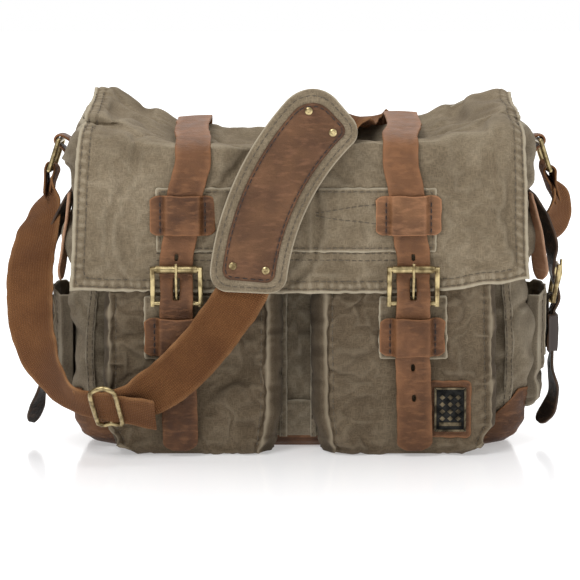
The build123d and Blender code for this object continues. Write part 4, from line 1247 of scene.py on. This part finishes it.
def pad_overlay():
    columns, rows = 34, 84
    verts, wear_light_and_shade = [], []
    for r in range(rows):
        for c in range(columns):
            u, v = -1 + 2 * c / (columns - 1), -1 + 2 * r / (rows - 1)
            x, z = pad_plan(u, v, 9.5)
            edge = min((1 - abs(u)) * 20.5, (1 - abs(v)) * 73)
            rise = 1.3 * (1 - math.exp(-edge / 6.0)) + 0.3 * wrinkle(x, 0, z, 26, 72) - 0.55 * math.exp(-((edge - 2.2) / 0.8) ** 2)
            verts.append(Vector((x, PAD_LOW.y - 0.6 - rise, z)))
            # Darker along the overlay's edge; its stitch groove gets painted shade.
            wear_light_and_shade.append(-0.55 * (edge < 1.0) - 0.45 * math.exp(-((edge - 2.2) / 0.9) ** 2) + 0.25 * wrinkle(x, 0, z, 22, 73))
    piece = make("pad_overlay", verts, grid_faces(rows, columns), LEATHER_PAD, "shoulder_strap", ("pad_leather",), wear_light_and_shade=wear_light_and_shade)
    face_out(piece, (0, -1, 0))
    return modify(piece, solid(1.3), smoothed())


pad = pad_shell()
overlay = pad_overlay()


def pad_ring(inset, scale):
    steps = [(-1 + 2 * i / 24, -1) for i in range(24)] + [(1, -1 + 2 * i / 60) for i in range(60)]
    steps += [(1 - 2 * i / 24, 1) for i in range(24)] + [(-1, 1 - 2 * i / 60) for i in range(60)]
    return [Vector((pad_plan(u * scale[0], v * scale[1], inset)[0], -110, pad_plan(u * scale[0], v * scale[1], inset)[1])) for u, v in steps]


stitches("pad_border_stitches", surface_of(pad), pad_ring(4.6, (1, 1)), FRONT, THREAD, "shoulder_strap", closed=True)
stitches("pad_overlay_stitches", surface_of(overlay), pad_ring(11.7, (1, 1)), FRONT, THREAD_DARK, "shoulder_strap",
         closed=True)


def dome(name, centre, direction, radius, height, material, body, replaced=()):
    """A turned rivet head with a rolled rim and a small centre dimple."""
    direction = Vector(direction).normalized()
    side = direction.orthogonal().normalized()
    other = direction.cross(side)
    profile = [(1.0, 0.0), (1.06, 0.25), (1.0, 0.5), (0.86, 0.62), (0.7, 0.85), (0.5, 1.0), (0.3, 0.92), (0.18, 0.7), (0.0, 0.62)]
    verts, faces = [], []
    for r, h in profile:
        for k in range(20):
            a = 2 * math.pi * k / 20
            verts.append(Vector(centre) + direction * (h * height) + (side * math.cos(a) + other * math.sin(a)) * r * radius)
    faces = grid_faces(len(profile), 20, closed=True)
    return make(name, verts, faces, material, body, replaced)


overlay_tree = surface_of(overlay)
for k, (u, v) in enumerate(((-0.62, -0.86), (0.62, -0.86), (-0.62, 0.86), (0.62, 0.86))):
    x, z = pad_plan(u, v, 9.5)
    hit = overlay_tree.ray_cast(Vector((x, -130, z)), Vector((0, 1, 0)))[0]
    dome(f"pad_rivet_{k}", hit, (0, -1, 0), 2.9, 1.3, BRASS, "shoulder_strap", ("pad_rivets",) if k == 0 else ())

# ======== side pockets, side straps and tabs ========

SIDE_FACE_X = box("side_pocket_right")[1].x
SP_LOW, SP_HIGH = box("side_pocket_right")


def side_pocket_point(flip, u, v, ring):
    """A gathered pouch on the end of the bag: u runs front to back, v up; ring 1 is its seam on the gusset."""
    y = lerp(SP_LOW.y, SP_HIGH.y, u)
    z = lerp(SP_LOW.z, SP_HIGH.z, v)
    seed = 80 if flip > 0 else 90
    edge = min(1, 7 * min(u, 1 - u) + 0.05)
    crown = math.sin(math.pi * u) ** 0.4 * min(1, 0.5 + v * 3)
    deep = 1.8 * wrinkle(0, y, z, 24, seed) + 0.9 * wrinkle(0, y, z, 11, seed + 1) - 2.2 * crease(0, y * 0.6, z, 34, seed + 2) ** 5
    sag = 7.0 * math.exp(-((z - SP_LOW.z - 17 - 5 * u - 3 * wrinkle(0, y, 0, 30, seed + 3)) / 5.0) ** 2)
    near = 1 - min(1, max(0, (abs(y - SIDE_STRAP_Y) - 16) / 10)) if z > 60 else 0
    x = SIDE_FACE_X - 9.2 + 9.0 * crown + (deep * edge - sag * (0.35 + 0.65 * edge)) * (1 - 0.9 * near)
    ridge = min(u, 1 - u) * (SP_HIGH.y - SP_LOW.y)
    z -= 7 * (1 - crown) * v ** 2
    x += 1.0 * math.exp(-(ridge / 1.4) ** 2) - 0.5 * math.exp(-((ridge - 4.6) / 1.0) ** 2)
    gusset = SIDE_X - 2
    if ring:
        x = lerp(x, gusset, ring ** 1.2)
        y += (-1 if u < 0.5 else 1) * 3 * math.sin(ring * math.pi / 2) * (v > 0)
    return Vector((flip * x, y, z)), ridge


def side_pocket_cloth(side):
    flip = 1 if side == "right" else -1
    columns, rows, rings = 52, 66, 6
    verts, wear_light_and_shade = [], []
    for r in range(-rings, rows):
        v, under = max(0, r) / (rows - 1), max(0, -r) / rings
        for c in range(-rings, columns + rings):
            u = min(1, max(0, c / (columns - 1)))
            ring = max(0, -c, c - columns + 1) / rings
            p, ridge = side_pocket_point(flip, u, v, max(ring, under))
            p.z -= 5 * math.sin(under * math.pi / 2)
            top = (1 - v) * (SP_HIGH.z - SP_LOW.z)
            p.x += flip * 0.5 * (top < 8) - flip * 0.4 * math.exp(-((top - 8) / 0.9) ** 2)
            p.z -= 2.5 * (4 * u * (1 - u)) * v + 1.2 * wrinkle(0, p.y, 3, 18, 84) * v
            verts.append(p)
            # The hem and the edge ridges are rubbed light; the stitch grooves and the seam ring folding back to the
            # gusset get painted shade.
            wear_light_and_shade.append(0.8 * (top < 1.2) + 0.6 * math.exp(-(ridge / 1.5) ** 2) * (ring < 0.1) - 0.25 * math.exp(-((ridge - 4.6) / 1) ** 2)
                        - 0.35 * (ring > 0.3) + 0.15 * wrinkle(0, p.y, p.z, 18, 85))
    width = columns + 2 * rings

    def sewn(r, c):
        p = verts[r * width + c]
        seam = abs(min(c - rings, width - rings - 1 - c)) / 4
        near = 1 - min(1, max(0, (abs(p.y - SIDE_STRAP_Y) - 14) / 10)) if p.z > 55 else 0
        return max(0, r < rings, c < 1, c >= width - 1, 0.85 * (1 - seam), near, 0.3 * (rows + rings - 1 - r < 6))

    verts = crumple(verts, width, sewn, 0.22, every=2, cap=4.0, bend=0.15)
    piece = make(f"side_pocket_{side}_cloth", verts, grid_faces(rows + rings, columns + 2 * rings), CANVAS_SHADED, "bag",
                 (f"side_pocket_{side}",), wear_light_and_shade=wear_light_and_shade)
    face_out(piece, (flip, 0, 0))
    return modify(piece, solid(1.5))


side_trees = {}
for side in ("left", "right"):
    flip = 1 if side == "right" else -1
    pouch = side_pocket_cloth(side)
    tree = surface_of(pouch)
    side_trees[side] = tree
    for k, y in enumerate((SP_LOW.y + 4.6, SP_HIGH.y - 4.6)):
        run = [Vector((flip * 215, y, z)) for z in np.arange(SP_LOW.z + 3, SP_HIGH.z - 3, 2)]
        stitches(f"side_pocket_{side}_stitches_{k}", tree, run, (-flip, 0, 0), THREAD, "bag")
    run = [Vector((flip * 215, y, SP_HIGH.z - 9)) for y in np.arange(SP_LOW.y + 3, SP_HIGH.y - 3, 2)]
    stitches(f"side_pocket_{side}_hem_stitches", tree, run, (-flip, 0, 0), THREAD, "bag")

    low, high = box("side_patches")
    sheet_on(f"side_patch_{side}_cloth", tree, (SIDE_STRAP_Y - 21, low.z + 1), (SIDE_STRAP_Y + 21, high.z - 1), 1.1,
             (-flip, 0, 0), 1.5, CANVAS, "bag", ("side_patches",) if side == "left" else (), edge_wear=1.0, rounding=6)
    keeper(f"side_keeper_{side}", SIDE_STRAP_Y, SIDE_HEEL - 42, SIDE_HEEL - 12, -(SIDE_FACE + 1.7), -(SIDE_FACE + 9.0), 20, 10.6, "bag",
           LEATHER_BLACK, "y", flip)
    chape_leather(f"side_chape_{side}_leather", SIDE_STRAP_Y, side, 13, "y", flip, "bag")
    g = table(200, HALF_X) - 1.5
    pts = [(g + 1.5, 214), (g + 2.4, 206), (g + 7.5, 196), (g + 13.5, 178), (SIDE_FACE + 2.6, 160), (SIDE_FACE + 5.2, SIDE_HEEL + 32),
           (SIDE_FACE + 5.5, SIDE_HEEL + 20), (SIDE_FACE + 9.4, SIDE_HEEL + 9), (SIDE_FACE + 11.3, SIDE_HEEL + 0.5),
           (SIDE_FACE + 8.4, SIDE_HEEL - 7), (SIDE_FACE + 6.2, SIDE_HEEL - 13), (SIDE_FACE + 6.2, SIDE_HEEL - 43),
           (SIDE_FACE + 5.2, SIDE_HEEL - 56), (SIDE_FACE + 7.5, SIDE_HEEL - 76), (SIDE_FACE + 6.0, SIDE_HEEL - 92), (SIDE_FACE + 3.0, SIDE_HEEL - 103)]
    turn = [0, 0.1, 0.35, 0.6, 0.5, 0.2, 0, 0, 0, 0, 0, 0, 0.1, 0.3, 0.6, 0.75]
    flare = [0, 0, 0, 1, 1, 0, 0, 0, 0, 0, 0, 0, 1, 4, 10, 18] if side == "left" else [0, 0, 2, 4, 2, 0, 0, 0, 0, 0, 0, 0, 0, 1, -2, -7]
    stations = [((flip * (a + f), SIDE_STRAP_Y, b), (-t, flip * math.sqrt(1 - t * t), 0) if side == "right" else
                 (-t, -math.sqrt(1 - t * t), 0)) for (a, b), t, f in zip(pts, turn, flare)]
    ribbon(f"side_strap_{side}_leather", stations, 18, 2.2, LEATHER_BLACK, "bag",
           ("side_straps",) if side == "left" else (), slots=((86, 22), (158, 7)), step=2.2, tip=12, worn_edge=1.0,
           wave_amount=0.5, seed=6 + flip)

    tab_low, tab_high = box(f"side_tab_{side}")
    tab_y = (tab_low.y + tab_high.y) / 2
    inner = abs(tab_low.x) if flip > 0 else abs(tab_high.x)
    tongue = [(inner - 0.5, tab_high.z), (inner + 0.8, tab_high.z - 14), (inner + 2.6, tab_high.z - 32), (inner + 4.6, tab_high.z - 50),
              (inner + 6.2, tab_low.z + 8), (inner + 6.6, tab_low.z)]
    turn = (0, 0.25, 0.5, 0.6, 0.6, 0.55) if side == "right" else (0, 0, 0.1, 0.15, 0.15, 0.1)
    stations = [((flip * (a + 3 * t), tab_y, b), (-0.9 * t * flip, 1, 0)) for (a, b), t in zip(tongue, turn)]
    ribbon(f"side_tab_{side}_leather", stations, 21, 2.4, LEATHER_TAN,
           f"side_tab_{side}", (f"side_tab_{side}",), step=2.0, tip=10, wave_amount=0.4, curl=0.8,
           taper=[(0, 0.72), (25, 0.9), (70, 1.05)], seed=8 + flip)

# ======== ring loops ========

TAB_LOW, TAB_HIGH = box("ring_tabs")
for side in ("left", "right"):
    flip = 1 if side == "right" else -1
    upper, _ = ring_bars(side)
    face = table(230, HALF_X) + 0.5
    pts = [(face + 2.5, TAB_LOW.z - 6), (face + 3.2, TAB_LOW.z + 12), (abs(upper.x) - 6.5, upper.z - 14), (abs(upper.x) - 1.5, upper.z - 5.5),
           (abs(upper.x) + 2.6, upper.z - 3.2), (abs(upper.x) + 4.1, upper.z + 0.4), (abs(upper.x) + 1.8, upper.z + 3.8),
           (abs(upper.x) - 2.2, upper.z + 3.8), (abs(upper.x) - 7, upper.z + 1.0), (abs(upper.x) - 13, upper.z - 3), (abs(upper.x) - 20, upper.z - 2)]
    tab = ribbon(f"ring_loop_{side}_leather", [((flip * a, upper.y, b), (0, flip, 0)) for a, b in pts], 27, 2.2, LEATHER, "bag",
                 ("ring_tabs",) if side == "left" else (), step=1.8, wave_amount=0.4, worn_edge=0.9, seed=12 + flip)
    tree = surface_of(tab)
    for k, y in enumerate((-10, 10)):
        run = [Vector((flip * 230, upper.y + y, z)) for z in np.arange(TAB_LOW.z, upper.z - 12, 2)]
        stitches(f"ring_loop_{side}_stitches_{k}", tree, run, (-flip, 0, 0), THREAD_BROWN, "bag")

# ======== top closure ========

ZIP_LOW, ZIP_HIGH = box("top_zip_tapes")
CHAIN_LOW, CHAIN_HIGH = box("top_zip_chain")
ZIP_Z = (ZIP_LOW.z + ZIP_HIGH.z) / 2
ZIP_Y = (CHAIN_LOW.y + CHAIN_HIGH.y) / 2


def top_cover():
    """Canvas that slopes in from the rim to the zip's tapes, as one dished ring."""
    columns, rows = 240, 16
    verts, wear_light_and_shade = [], []
    hx = (ZIP_HIGH.x - ZIP_LOW.x) / 2 + 3
    for r in range(rows):
        t = r / (rows - 1)
        for c in range(columns):
            outer = body_point(c / columns, 0.985)
            a = max(-hx, min(hx, outer.x * 0.96))
            inner = Vector((a, ZIP_Y + (16.5 if outer.y > ZIP_Y else -16.5) * (1 if abs(outer.x) < hx else abs(outer.y - ZIP_Y) / 48), ZIP_Z - 0.6))
            p = outer.lerp(inner, t)
            p.z = lerp(outer.z - 3, inner.z, 1 - (1 - t) ** (1.7 if abs(outer.x) < hx else 3.5)) + 1.3 * wrinkle(p.x, p.y, 0, 24, 101) * math.sin(t * math.pi)
            verts.append(p)
            # The whole cover is darkened with painted shade, as it lies under the flap.
            wear_light_and_shade.append(0.1 * wrinkle(p.x, p.y, p.z, 20, 102) - 0.25)
    piece = make("top_cover_canvas", verts, grid_faces(rows, columns, closed=True), CANVAS_SHADED, "bag", wear_light_and_shade=wear_light_and_shade)
    face_out(piece, (0, 0, 1))
    return modify(piece, solid(1.4))


def tapes(name, centre, half_length, tape_w, up, across, replaced, body="bag"):
    """Two woven tapes beside a zip's teeth, each with a corded inner edge and two stitch rows."""
    up, across = Vector(up), Vector(across)
    columns = 14
    for sign in (-1, 1):
        verts, wear_light_and_shade, uvs = [], [], []
        rows = int(half_length * 2 / 3)
        for r in range(rows):
            x = -half_length + 2 * half_length * r / (rows - 1)
            for c in range(columns):
                t = c / (columns - 1)
                off = sign * (2.0 + t * tape_w)
                rise = 0.8 * math.exp(-(t * tape_w / 1.2) ** 2) + 0.2 * wrinkle(x, off, 0, 12, 103)
                verts.append(centre + Vector((x, 0, 0)) + across * off + up * rise)
                # The corded inner edge is lighter; the outer edge, running under the canvas, gets painted shade.
                wear_light_and_shade.append(0.3 * (c == 0) - 0.2 * (c == columns - 1))
                uvs.append((t * 0.014, x * 0.001))
        piece = make(f"{name}_{'front' if sign < 0 else 'back'}", verts, grid_faces(rows, columns), LINING, body,
                     replaced if sign < 0 else (), uvs, wear_light_and_shade)
        face_out(piece, tuple(up))
        modify(piece, solid(1.0))
        tree = surface_of(piece)
        for k, d in enumerate((3.0, 8.0)):
            if d > tape_w:
                continue
            run = [centre + up * 20 + Vector((x, 0, 0)) + across * sign * (2 + d) for x in np.arange(-half_length + 2, half_length - 2, 3)]
            stitches(f"{name}_stitches_{sign + 1}_{k}", tree, run, tuple(-up), THREAD, body)


def teeth(name, centre, half_length, up, across, replaced):
    """Interlocked zip teeth, alternating sides."""
    up, across = Vector(up), Vector(across)
    verts, faces = [], []
    count = int((2 * half_length - 10) / 1.6)
    for k in range(count):
        x = -half_length + 5 + k * 1.6
        sign = -1 if k % 2 else 1
        base = len(verts)
        for px, po, pu in ((-0.62, -0.5, -0.9), (0.62, -0.5, -0.9), (0.5, 2.9, -0.8), (-0.5, 2.9, -0.8),
                           (-0.5, -0.3, 1.0), (0.5, -0.3, 1.0), (0.36, 2.7, 0.75), (-0.36, 2.7, 0.75)):
            verts.append(centre + Vector((x + px, 0, 0)) + across * (po * sign) + up * pu)
        quads = [(0, 1, 2, 3), (7, 6, 5, 4), (0, 4, 5, 1), (1, 5, 6, 2), (2, 6, 7, 3), (3, 7, 4, 0)]
        faces += [tuple(base + i for i in q) for q in quads]
    piece = make(name, verts, faces, BRASS, "bag", replaced, smooth=False)
    mesh = bmesh.new()
    mesh.from_mesh(piece.data)
    bmesh.ops.recalc_face_normals(mesh, faces=mesh.faces)
    mesh.to_mesh(piece.data)
    mesh.free()
    return piece


top_cover()
tapes("top_zip_tape", Vector(((ZIP_LOW.x + ZIP_HIGH.x) / 2, ZIP_Y, ZIP_Z - 0.4)), (ZIP_HIGH.x - ZIP_LOW.x) / 2, 15, (0, 0, 1), (0, 1, 0),
      ("top_zip_tapes",))
teeth("top_zip_teeth", Vector((0, ZIP_Y, ZIP_Z)), (CHAIN_HIGH.x - CHAIN_LOW.x) / 2, (0, 0, 1), (0, 1, 0), ("top_zip_chain",))
BZ_LOW, BZ_HIGH = box("back_zip_tapes")
BC_LOW, BC_HIGH = box("back_zip_chain")
back_centre = Vector(((BC_LOW.x + BC_HIGH.x) / 2, (BC_LOW.y + BC_HIGH.y) / 2, (BC_LOW.z + BC_HIGH.z) / 2))
tapes("back_zip_tape", back_centre - Vector((0, 0.4, 0)), (BZ_HIGH.x - BZ_LOW.x) / 2, 9, (0, 1, 0), (0, 0, 1), ("back_zip_tapes",))
teeth("back_zip_teeth", back_centre, (BC_HIGH.x - BC_LOW.x) / 2, (0, 1, 0), (0, 0, 1), ("back_zip_chain",))


def welt(name, tree, x0, x1, z0, z1, body):
    """A canvas frame round the back zip."""
    bars = (((x0 - 9, z1), (x1 + 9, z1 + 8)), ((x0 - 9, z0 - 8), (x1 + 9, z0)), ((x0 - 9, z0 - 0.5), (x0, z1 + 0.5)), ((x1, z0 - 0.5), (x1 + 9, z1 + 0.5)))
    for k, (low, high) in enumerate(bars):
        piece = sheet_on(f"{name}_{k}", tree, low, high, 3.6, (0, -1, 0), 1.6, CANVAS, body, rounding=1.0, edge_wear=0.7, thickness=2.6)
    return piece


welt("back_zip_welt", body_tree, BZ_LOW.x, BZ_HIGH.x, BC_LOW.z - 4.5, BC_HIGH.z + 4.5, "bag")
for k, (x0, z0, x1, z1) in enumerate(((BZ_LOW.x - 16, 40, BZ_HIGH.x + 16, BC_HIGH.z + 15),)):
    outline = [Vector((x0, 120, z1)), Vector((x0, 120, z0)), Vector((x1, 120, z0)), Vector((x1, 120, z1)), Vector((x0, 120, z1))]
    stitches(f"back_pocket_stitches_{k}", body_tree, outline, (0, -1, 0), THREAD, "bag")
for k, sign in enumerate((-1, 1)):
    for inset in (0, 6):
        run = [Vector((sign * (168 - inset), 120, z)) for z in range(24, 262, 4)]
        stitches(f"back_side_stitches_{k}_{inset}", body_tree, run, (0, -1, 0), THREAD, "bag")
for k, z in enumerate((22, 28)):
    run = [Vector((x, 120, z)) for x in range(-160, 161, 4)]
    stitches(f"back_base_stitches_{k}", body_tree, run, (0, -1, 0), THREAD, "bag")

# ======== inside ========


def inner_shell(name, node, inset, top, material, seed):
    """A soft open liner inside a node's box."""
    low, high = box(node)
    columns, rows = 120, 34
    verts = []
    for r in range(-6, rows):
        t, pull = max(0, r) / (rows - 1), max(0, -r) / 6
        for c in range(columns):
            p, n = section_point(c / columns, 120)
            p -= n * 10
            x = max(low.x + inset, min(high.x - inset, p.x)) * (1 - 0.9 * pull)
            y = max(low.y + inset, min(high.y - inset, p.y))
            y = lerp(y, (low.y + high.y) / 2, 0.9 * pull)
            z = lerp(low.z + 1, top, t)
            d = -1.8 * abs(wrinkle(x, y, z, 30, seed)) * (1 - pull)
            verts.append(Vector((x, y, z)) + n * d)
    faces = grid_faces(rows + 6, columns, closed=True)
    faces.append(tuple(range(columns)))
    piece = make(name, verts, faces, material, "bag", (node,))
    return modify(piece, solid(0.8))


def cushion(name, node, material, crown):
    """A padded panel filling a flat node's box, crowned on both faces."""
    low, high = box(node)
    columns, rows = 60, 40
    verts, faces = [], []
    for face in (-1, 1):
        for r in range(rows):
            for c in range(columns):
                u, v = c / (columns - 1), r / (rows - 1)
                x, z = lerp(low.x, high.x, u), lerp(low.z, high.z, v)
                edge = min(u * (high.x - low.x), (1 - u) * (high.x - low.x), v * (high.z - low.z), (1 - v) * (high.z - low.z))
                h = (high.y - low.y) / 2 * (1 - math.exp(-edge / crown)) * (0.86 + 0.1 * wrinkle(x, face, z, 40, 111))
                verts.append(Vector((x, (low.y + high.y) / 2 + face * h, z)))
        offset = 0 if face < 0 else rows * columns
        faces += [tuple(i + offset for i in (f if face < 0 else reversed(f))) for f in grid_faces(rows, columns)]
    mesh_piece = make(name, verts, faces, material, "bag", (node,))
    return mesh_piece


inner_shell("lining_cloth_shell", "lining", 1.2, box("lining")[1].z - 4, LINING, 105)
cushion("laptop_sleeve_pad", "laptop_sleeve", LINING, 5)

# ======== badge ========

badge_low, badge_high = box("badge_patch")
plate_low, plate_high = box("badge_plate")
sheet_on("badge_leather", pocket_trees["right"], (badge_low.x - 1.5, badge_low.z - 1.5), (badge_high.x + 1.5, badge_high.z + 1.5), 0.9, FRONT, 1.5,
         LEATHER, "bag", ("badge_patch",), edge_wear=0.8, rounding=4, thickness=1.6)


def raised(name, pieces, material, depth, y):
    """Flat outlines in x and z raised from a plane facing the front."""
    verts, faces = [], []
    for outline in pieces:
        base = len(verts)
        count = len(outline)
        middle = sum((Vector(p) for p in outline), Vector((0, 0))) / count
        for p in outline:
            verts.append(Vector((p[0], y, p[1])))
        for p in outline:
            q = middle + (Vector(p) - middle) * 0.86
            verts.append(Vector((q.x, y - depth, q.y)))
        faces.append(tuple(base + count + i for i in range(count)))
        faces += [(base + i, base + (i + 1) % count, base + count + (i + 1) % count, base + count + i) for i in range(count)]
    piece = make(name, verts, faces, material, "bag", smooth=False)
    mesh = bmesh.new()
    mesh.from_mesh(piece.data)
    bmesh.ops.recalc_face_normals(mesh, faces=mesh.faces)
    mesh.to_mesh(piece.data)
    mesh.free()
    return piece


def plate_frame(low, high, band):
    """A rectangular band as four mitred bars."""
    x0, z0, x1, z1 = low.x, low.z, high.x, high.z
    b = band
    return [[(x0, z0), (x1, z0), (x1 - b, z0 + b), (x0 + b, z0 + b)], [(x1, z0), (x1, z1), (x1 - b, z1 - b), (x1 - b, z0 + b)],
            [(x1, z1), (x0, z1), (x0 + b, z1 - b), (x1 - b, z1 - b)], [(x0, z1), (x0, z0), (x0 + b, z0 + b), (x0 + b, z1 - b)]]


middle = (plate_low + plate_high) / 2
lozenges = []
for row in range(4):
    for column in range(3):
        cx, cz = middle.x + (column - 1) * 6.2, middle.z + 9.6 - row * 5.6
        lozenges.append([(cx - 2.5, cz), (cx, cz - 2.3), (cx + 2.5, cz), (cx, cz + 2.3)])
bar = [[(middle.x - 9, plate_low.z + 4.2), (middle.x + 9, plate_low.z + 4.2), (middle.x + 9, plate_low.z + 7.4), (middle.x - 9, plate_low.z + 7.4)]]
raised("badge_rim", plate_frame(plate_low, plate_high, 1.7), BRASS_DARK, 0.5, plate_low.y + 0.1)
raised("badge_pattern", lozenges + bar, BRASS_DARK, 0.45, plate_low.y + 0.7)

# ======== strap adjuster ========

ADJ_LOW, ADJ_HIGH = box("adjuster")
adj = (ADJ_LOW + ADJ_HIGH) / 2
ADJ_ACROSS = Vector((-0.1, -0.7, 0.7)).normalized()
ADJ_OUT = Vector((-0.04, -0.7, -0.7)).normalized()
ADJ_ALONG = ADJ_ACROSS.cross(ADJ_OUT).normalized()


def rod(name, points, radius, material, body, replaced=(), closed=False, sides=12, step=1.2):
    """Round bar bent along a path."""
    path = spline(points, step)
    if closed:
        path = path[:-1]
    verts = []
    last = None
    for i, p in enumerate(path):
        after = path[(i + 1) % len(path)] if closed else path[min(i + 1, len(path) - 1)]
        before = path[i - 1] if closed or i else path[0]
        along = (after - before).normalized()
        side = last if last is not None else along.orthogonal()
        side = (side - along * side.dot(along)).normalized()
        last = side
        other = along.cross(side)
        for k in range(sides):
            a = 2 * math.pi * k / sides
            verts.append(p + (side * math.cos(a) + other * math.sin(a)) * radius)
    faces = grid_faces(len(path), sides, closed=True)
    if closed:
        end = (len(path) - 1) * sides
        faces += [(end + k, end + (k + 1) % sides, (k + 1) % sides, k) for k in range(sides)]
    else:
        faces += [tuple(reversed(range(sides))), tuple(range(len(verts) - sides, len(verts)))]
    return make(name, verts, faces, material, body, replaced)


def adj_point(a, l, o):
    return adj + ADJ_ACROSS * a + ADJ_ALONG * l + ADJ_OUT * o


half = WEB_W / 2 + 4
frame_path = [adj_point(a, l, o) for a, l, o in (
    (-half + 4, -9.5, 3.4), (0, -9.9, 3.8), (half - 4, -9.5, 3.4), (half, -6, 2.2), (half + 0.6, 0, 0.6), (half, 6, 2.2), (half - 4, 9.5, 3.4),
    (0, 9.9, 3.8), (-half + 4, 9.5, 3.4), (-half, 6, 2.2), (-half - 0.6, 0, 0.6), (-half, -6, 2.2), (-half + 4, -9.5, 3.4))]
rod("adjuster_frame", frame_path, 1.9, BRASS, "shoulder_strap", ("adjuster",), closed=True)
rod("adjuster_bar", [adj_point(-half, 0, 0.4), adj_point(-half + 5, 0, -3.2), adj_point(0, 0, -3.4), adj_point(half - 5, 0, -3.2),
                     adj_point(half, 0, 0.4)], 1.7, BRASS, "shoulder_strap")

# ======== carried-over hardware ========

for node in ("buckle_frame_left", "buckle_frame_right", "buckle_roller_left", "buckle_roller_right", "buckle_prong_left",
             "buckle_prong_right", "side_buckle_left", "side_buckle_right", "side_prong_left", "side_prong_right", "ring_left",
             "ring_right", "top_zip_slider", "top_zip_pull", "back_zip_slider", "back_zip_pull"):
    dress(node, BRASS)
for node in ("snap_plates", "snap_magnets"):
    dress(node, BRASS_DARK)
dress("badge_plate", STEEL_DARK)
board_low, board_high = box("base_board")
outline = [section_point(k / 96, 6)[0] * Vector((0.93, 0.9, 1)) for k in range(96)]
outline = [Vector((p.x, p.y, z)) for z in (board_low.z, board_high.z) for p in outline]
make("base_board_slab", outline, [*grid_faces(2, 96, closed=True), tuple(reversed(range(96))), tuple(range(96, 192))], BOARD, "bag",
     ("base_board",), smooth=False)

# ======== seams on the pockets and the body ========

sheet_on("centre_panel_foot", body_tree, (-30, 1.2), (27, 40), 3.6, FRONT, 1.5, CANVAS_SHADED, "bag", edge_wear=0.1, thickness=1.4)
for k, (x, width) in enumerate(((-13, 6), (11, 5), (18.5, 4))):
    seam = sheet_on(f"centre_seam_{k}", body_tree, (x - width / 2, 1.5), (x + width / 2, 146), 4.4, FRONT, 1.0, CANVAS_SHADED, "bag",
                    bulge=1.0, rounding=0.5, rough_edge=0.4, edge_wear=0.7, thickness=2.2)
    run = [Vector((x - 1.2, -90, z)) for z in range(8, 144, 3)]
    stitches(f"centre_seam_{k}_stitches", surface_of(seam), run, FRONT, THREAD, "bag")

for side in ("left", "right"):
    inner, outer = POCKET_EDGES[side]
    sign = -1 if side == "left" else 1
    for k, (edge, inset) in enumerate(((inner, 5.2), (outer, -5.2))):
        run = [Vector((table(z, edge) + sign * inset, -120, z)) for z in range(8, 134, 3)]
        stitches(f"pocket_{side}_stitches_{k}", pocket_trees[side], run, FRONT, THREAD, "bag")
    felled = []
    for z in range(20, 160, 5):
        x = sign * (161 + 6 * math.sin(z / 48))
        hit = body_tree.ray_cast(Vector((x, -200, z)), Vector(FRONT), 300)[0]
        felled.append(((x, hit.y - 0.9 + 0.5 * wrinkle(x, 0, z, 12, 120), z), (1, 0.25 * sign, 0)))
    ridge = ribbon(f"front_seam_{side}", felled, 7, 2.0, CANVAS_SHADED, "bag", step=2.0, curl=0.7, wave_amount=0.5, worn_edge=1.2)
    tree = surface_of(ridge)
    for k, shift_x in enumerate((-2.0, 2.0)):
        run = [Vector((p[0] + shift_x, -120, p[2])) for p, _ in felled]
        stitches(f"front_seam_{side}_stitches_{k}", tree, run, FRONT, THREAD, "bag")

# ======== floor, light and camera ========


def studio():
    scene = bpy.context.scene
    scene.view_settings.view_transform = "Standard"
    world = bpy.data.worlds.new("studio")
    scene.world = world
    world.use_nodes = True
    tree = world.node_tree
    background = tree.nodes["Background"]
    background.inputs["Color"].default_value = (1, 1, 1, 1)
    path = tree.nodes.new("ShaderNodeLightPath")
    strength = tree.nodes.new("ShaderNodeMix")
    strength.inputs[2].default_value = 0.38
    strength.inputs[3].default_value = 1.0
    tree.links.new(path.outputs["Is Camera Ray"], strength.inputs[0])
    tree.links.new(strength.outputs[0], background.inputs["Strength"])
    bpy.ops.mesh.primitive_plane_add(size=60, location=(0, 0, 0))
    floor = bpy.context.object
    floor.name = "floor"
    n = Nodes("floor_white")
    sheen = n.noise(3, 2)
    n.surface((0.93, 0.93, 0.94), n.math("MULTIPLY_ADD", sheen, 0.05, 0.10))
    n.shader.inputs["Specular IOR Level"].default_value = 0.35
    # The floor glows: its emission rises from about a third beside the bag to full strength a metre out, painted light
    # that lifts the floor's shade and whitens the far floor into the backdrop.
    reach = n.add("ShaderNodeVectorMath", operation="LENGTH")
    n.link(n.coords(), reach.inputs[0])
    far = n.ramp(n.math("MULTIPLY", reach.outputs["Value"], 0.4), [(0.10, (0.34, 0.34, 0.34)), (0.4, (1, 1, 1))])
    n.shader.inputs["Emission Color"].default_value = (1, 1, 1, 1)
    n.link(far, n.shader.inputs["Emission Strength"])
    floor.data.materials.append(n.material)
    for name, place, size, power in (("key", (-0.9, -1.5, 2.1), 0.9, 29), ("fill", (1.7, -1.5, 1.0), 1.4, 6),
                                     ("top", (0.1, 0.5, 2.1), 1.3, 20), ("back", (0.0, 2.0, 1.0), 1.6, 8)):
        light = bpy.data.lights.new(name, "AREA")
        light.size = size
        light.energy = power
        lamp = bpy.data.objects.new(name, light)
        lamp.location = place
        lamp.rotation_euler = (Vector((0, 0, 0.13)) - Vector(place)).to_track_quat("-Z", "Y").to_euler()
        scene.collection.objects.link(lamp)
    camera = bpy.data.objects.new("camera", bpy.data.cameras.new("camera"))
    scene.collection.objects.link(camera)
    distance, rise = 1.8, math.radians(7)
    target = Vector((GROUND.x - 7.8, FLAP_FRONT + 2, GROUND.z + 132)) * 0.001
    camera.location = target + distance * Vector((0, -math.cos(rise), math.sin(rise)))
    camera.rotation_euler = (target - camera.location).to_track_quat("-Z", "Y").to_euler()
    camera.data.sensor_width = 36
    camera.data.lens = 36 * distance / 0.4524
    scene.camera = camera


studio()
